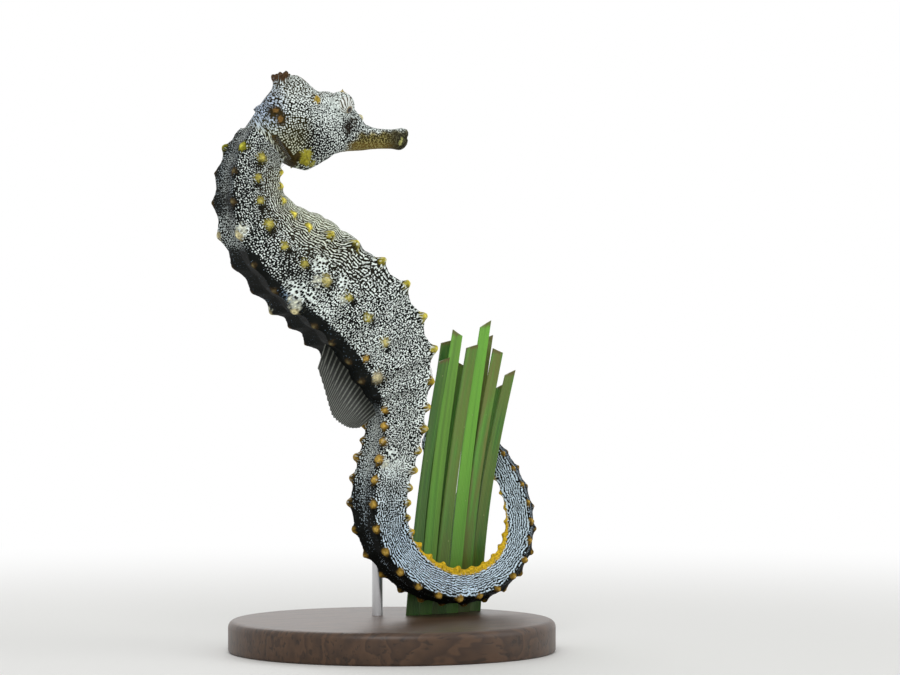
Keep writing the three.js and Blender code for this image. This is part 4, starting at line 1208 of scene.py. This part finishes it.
finSurface = finMaterial()
for name, node, kind, shape, side in (
    ("back_fin", "fin_dorsal", "dorsal", middleFin, 1),
    ("belly_fin", "fin_anal", "anal", middleFin, -1),
    ("left_cheek_fin", "fin_pectoral_left", "pectoral", pectoralFin, 1),
    ("right_cheek_fin", "fin_pectoral_right", "pectoral", pectoralFin, -1),
):
    finished(makeFin(name, finLook[kind], *shape(finLook[kind], side)), finSurface, "fin", node)
print("fins are in")

# cut blades that stand in the base
grass = {
    "foot": 6.8,  # height of the blades' feet, millimetres
    "thickness": 0.34,
    "fold": 0.2,
    "taper": 0.18,
    "blades": [  # foot, tip, width, bow, twist in degrees, slant of the cut, green and share of olive
        ((8.4, 6.9), (14.9, 3.9, 64), 3.0, 1.1, 14, 0.5, 0.1, 0.15),
        ((11.9, 7.4), (18.6, 4.6, 70), 3.2, 0.9, -9, -0.7, 0.75, 0.2),
        ((15.5, 8.0), (22.6, 5.2, 67), 3.3, 0.9, 11, 0.4, 0.35, 0.6),
        ((19.1, 8.6), (26.3, 5.8, 72), 3.1, 0.8, -12, 0.8, 1.0, 0.0),
        ((22.7, 9.9), (30.0, 6.9, 66), 3.2, 1.3, 12, -0.5, 0.45, 0.9),
        ((26.3, 11.2), (33.4, 7.4, 61), 2.9, 1.6, -8, 0.6, 0.2, 0.6),
        ((10.4, 9.1), (16.8, 6.6, 68), 3.1, 0.6, -7, 0.3, 0.0, 0.5),
        ((14.2, 9.7), (20.8, 7.2, 63), 3.2, 0.5, 10, -0.6, 0.1, 0.4),
        ((20.9, 11.3), (28.2, 8.6, 69), 3.3, 0.6, -9, 0.5, 0.05, 0.9),
        ((24.5, 12.3), (32.0, 9.4, 58), 2.8, 0.8, 7, 0.6, 0.3, 0.3),
    ],
    "deep": (0.032, 0.125, 0.018),
    "bright": (0.16, 0.44, 0.045),
    "olive": (0.15, 0.17, 0.035),
    "shade": (0.022, 0.055, 0.014),
    "vein": (0.2, 0.46, 0.08),
    "veinSpacing": 0.42,
    "speck": (0.35, 0.4, 0.16),
    "cut": (0.13, 0.1, 0.03),
}


def makeBlade(number, foot, tip, width, bow, twist, slant, green, olive):
    blade = added(bpy.ops.mesh.primitive_grid_add, "grass_blade_" + str(number),
                  x_subdivisions=8, y_subdivisions=36, size=1)
    flat = pointsOf(blade)
    across, along = flat[:, 0] * 2, flat[:, 1] + 0.5
    length = tip[2] - grass["foot"]
    along = along + slant * across * smoothStep(along, 0.9, 1) / length
    reach = width / 2 * (1 - grass["taper"] * along) * across
    x = foot[0] + (tip[0] - foot[0]) * along - bow * np.sin(np.pi * along)
    y = foot[1] + (tip[1] - foot[1]) * along
    # the blade turns about its own middle, and its midrib is pushed back
    turn = np.radians(twist) * np.sin(np.pi * (along * 1.2 - 0.1))
    push = grass["fold"] * (1 - np.abs(across) ** 1.5)
    x = x + reach * np.cos(turn) - push * np.sin(turn)
    y = y + reach * np.sin(turn) + push * np.cos(turn)
    setPoints(blade, np.stack([x, y, grass["foot"] + length * along], 1) * mm)
    # the leaf's own millimetres, set apart from the other blades' in the third
    own = [across * width / 2, along * length, 0 * along + number * 7.3]
    writeAttribute(blade, "leaf", np.stack(own, 1))
    writeAttribute(blade, "shade", np.tile((green, olive, length), (len(along), 1)))
    applyModifier(blade, "SOLIDIFY", thickness=grass["thickness"] * mm, offset=0)
    return smoothByAngle(blade, 50)


def grassMaterial():
    board = newMaterial("seagrass")
    leaf = board.attribute("leaf")["Vector"]
    across, along, _ = board.split(leaf)
    green, olive, length = board.split(board.attribute("shade")["Vector"])
    streaks = board.noise(board.scaled(leaf, (1.6, 0.02, 1)), 1, detail=3, roughness=0.6)
    blotches = board.spread(board.noise(board.scaled(leaf, (0.5, 0.06, 1)), 1), 0.3, 0.6)
    green = board.maths("ADD", green, board.line(streaks, 1.5, -0.75), clamp=True)
    full = board.mix(green, grass["deep"], grass["bright"])
    full = board.mix(board.times(blotches, board.plus(olive, 0.1)), full, grass["olive"])
    # darker towards the foot, and fine veins run the whole length
    full = board.mix(board.spread(along, 40, 2, 0, 0.6), full, grass["shade"])
    veins = board.maths("COSINE", board.times(across, math.tau / grass["veinSpacing"]))
    full = board.mix(board.line(veins, 0.07, 0.07), full, grass["vein"])
    specks = board.spread(board.cells(leaf, 0.35, dimensions="3D"), 0.07, 0.03, 0, 0.55)
    full = board.mix(specks, full, grass["speck"])
    # the cut end is a little brown
    fromTip = board.plus(board.maths("SUBTRACT", length, along), board.line(streaks, 1.6, -0.8))
    full = board.mix(board.spread(fromTip, 1.1, 0.1, 0, 0.8), full, grass["cut"])
    return board.set(colour=full, roughness=0.42, specular=0.35, normal=board.bump(veins, 0.03, 0.5))


grassSurface = grassMaterial()
for number, each in enumerate(grass["blades"], 1):
    finished(makeBlade(number, *each), grassSurface, "seagrass", "perch_blade_" + str(number))
print("seagrass is in")

# a turned wooden base and two steel rods
stand = {
    "radius": 36,
    "thickness": 7,
    "edge": 1.6,
    "footEdge": 0.6,
    "rodRadius": 1.2,
    "rodEdge": 0.5,
    "bodyRod": {"ring": 10.5, "up": -0.5, "out": -1.1, "standOff": 4, "bend": 3},
    "perchRod": {"foot": (17.4, 10.8, 7), "top": (20.7, 9.6, 34)},
    "woodDark": (0.035, 0.018, 0.01),
    "woodLight": (0.105, 0.055, 0.028),
    "woodPore": (0.012, 0.007, 0.004),
    "steel": (0.56, 0.56, 0.57),
}


def roundEdge(piece, height, width, segments):
    # bevels the edges that lie at one height
    openPiece(piece, "DESELECT")
    bpy.ops.mesh.select_mode(type="EDGE")
    closePiece()
    for edge in piece.data.edges:
        ends = [piece.data.vertices[i].co.z for i in edge.vertices]
        edge.select = all(abs(z - height * mm) < 1e-6 for z in ends)
    bpy.ops.object.mode_set(mode="EDIT")
    bpy.ops.mesh.bevel(offset=width * mm, segments=segments)
    closePiece()


def makeCylinder(name, sides, radius, height):
    # stands on the origin
    return added(bpy.ops.mesh.primitive_cylinder_add, name, vertices=sides, radius=radius * mm,
                 depth=height * mm, location=(0, 0, height / 2 * mm))


def makeBase():
    base = makeCylinder("wooden_base", 160, stand["radius"], stand["thickness"])
    roundEdge(base, stand["thickness"], stand["edge"], 6)
    roundEdge(base, 0, stand["footEdge"], 3)
    return smoothByAngle(base, 40)


def makeBodyRod():
    # a circle drawn up, spun through a quarter turn and drawn on into the flank
    rod = stand["bodyRod"]
    x, end, top = pointOnBody(rod["ring"], rod["up"], rod["out"])[0]
    y = end + rod["standOff"] * mm
    bend, floor = rod["bend"] * mm, stand["thickness"] * mm
    piece = added(bpy.ops.mesh.primitive_circle_add, "body_rod", vertices=28, radius=stand["rodRadius"] * mm,
                  location=(x, y, floor))
    openPiece(piece)
    bpy.ops.mesh.extrude_region_move(TRANSFORM_OT_translate={"value": (0, 0, top - bend - floor)})
    bpy.ops.mesh.spin(steps=10, angle=math.pi / 2, center=(x, y - bend, top - bend), axis=(1, 0, 0))
    bpy.ops.mesh.extrude_region_move(TRANSFORM_OT_translate={"value": (0, end - y + bend, 0)})
    bpy.ops.mesh.select_all(action="SELECT")
    bpy.ops.mesh.remove_doubles(threshold=doubles)
    bpy.ops.mesh.fill_holes(sides=0)
    bpy.ops.mesh.select_all(action="SELECT")
    bpy.ops.mesh.normals_make_consistent(inside=False)
    closePiece()
    return smoothByAngle(piece, 40)


def makePerchRod():
    foot, top = (Vector(stand["perchRod"][key]) for key in ("foot", "top"))
    piece = makeCylinder("perch_rod", 28, stand["rodRadius"], (top - foot).length)
    roundEdge(piece, (top - foot).length, stand["rodEdge"], 4)
    piece.data.transform(Matrix.Translation(foot * mm) @ facing(top - foot))
    return smoothByAngle(piece, 40)


def woodMaterial():
    board = newMaterial("dark wood")
    place = board.objectPlace()
    bent = board.scaled(board.noise(place, 22, output="Color"), (0.3, 0.3, 0.3))
    warped = board.vectorMaths("ADD", {0: board.scaled(place, (14, 90, 40)), 1: bent})
    bands = board.maths("FRACT", board.times(board.noise(warped, 1.2, detail=4, roughness=0.6), 9))
    bands = board.times(bands, board.spread(bands, 1, 0.8))
    pores = board.spread(board.noise(board.scaled(place, (110, 1500, 900)), 1), 0.56, 0.68)
    full = board.mix(board.line(bands, 0.75, 0.1), stand["woodDark"], stand["woodLight"])
    full = board.mix(board.times(pores, 0.6), full, stand["woodPore"])
    height = board.maths("SUBTRACT", board.times(bands, 0.2), pores)
    return board.set(colour=full, roughness=0.42, specular=0.35, coat=0.12, coatRoughness=0.3,
                     normal=board.bump(height, 0.04, 0.5))


def steelMaterial():
    board = newMaterial("brushed steel")
    grain = board.noise(board.scaled(board.objectPlace(), (1, 1, 0.04)), 9000)
    return board.set(colour=stand["steel"], metal=1, roughness=board.line(grain, 0.2, 0.22),
                     normal=board.bump(grain, 0.01, 0.4))


finished(makeBase(), woodMaterial(), "wood", "stand_base")
steel = steelMaterial()
finished(makeBodyRod(), steel, "steel", "stand_rod_body")
finished(makePerchRod(), steel, "steel", "stand_rod_perch")
print("stand is in")

studio = {
    "lamps": [  # place and size in metres, watts
        {"name": "key", "at": (-0.5, -0.9, 0.9), "size": 0.7, "power": 7.2},
        {"name": "fill", "at": (0.9, -0.6, 0.5), "size": 0.8, "power": 3},
        {"name": "back", "at": (0.2, 0.9, 0.8), "size": 0.8, "power": 3.5},
    ],
    "aim": (0, 0, 0.06),
    "world": 0.4,
    "floorColour": (0.82, 0.82, 0.8),
    "floorRadius": 8,
    "floorClear": (0.09, 0.4),  # the floor turns to plain white between these distances
}


def makeLamps():
    for each in studio["lamps"]:
        data = bpy.data.lights.new(each["name"], "AREA")
        data.size = each["size"]
        data.energy = each["power"]
        lamp = linked(each["name"], data)
        lamp.location = each["at"]
        away = Vector(each["at"]) - Vector(studio["aim"])
        lamp.rotation_euler = away.to_track_quat("Z", "Y").to_euler()


def seenPlainly(board):
    # 1 for the rays that see the backdrop itself, its reflection or through glass
    path = board.node("ShaderNodeLightPath").outputs
    total = path["Is Camera Ray"]
    for name in ("Is Glossy Ray", "Is Transmission Ray"):
        total = board.maths("ADD", total, path[name], clamp=True)
    return total


def makeWorld():
    world = bpy.data.worlds.new("studio")
    bpy.context.scene.world = world
    board = Board(world)
    background = board.tree.nodes["Background"]
    board.plug((1, 1, 1), background.inputs["Color"])
    board.plug(board.blend(seenPlainly(board), studio["world"], 1), background.inputs["Strength"])


def makeFloor():
    floor = added(bpy.ops.mesh.primitive_circle_add, "floor", vertices=96, radius=studio["floorRadius"],
                  fill_type="NGON")
    board = newMaterial("pale floor")
    distance = board.vectorMaths("LENGTH", {0: board.objectPlace()})
    share = board.times(board.spread(distance, *studio["floorClear"]), seenPlainly(board))
    board.set(colour=studio["floorColour"], roughness=0.7)
    surface = board.tree.nodes["Principled BSDF"].outputs[0]
    glow = board.node("ShaderNodeEmission", {"Strength": 1}).outputs[0]
    both = board.node("ShaderNodeMixShader", {0: share, 1: surface, 2: glow}).outputs[0]
    board.plug(both, board.tree.nodes["Material Output"].inputs["Surface"])
    floor.data.materials.append(board.owner)


makeLamps()
makeWorld()
makeFloor()
bpy.context.scene.view_settings.view_transform = "Standard"
print("light and floor are set")
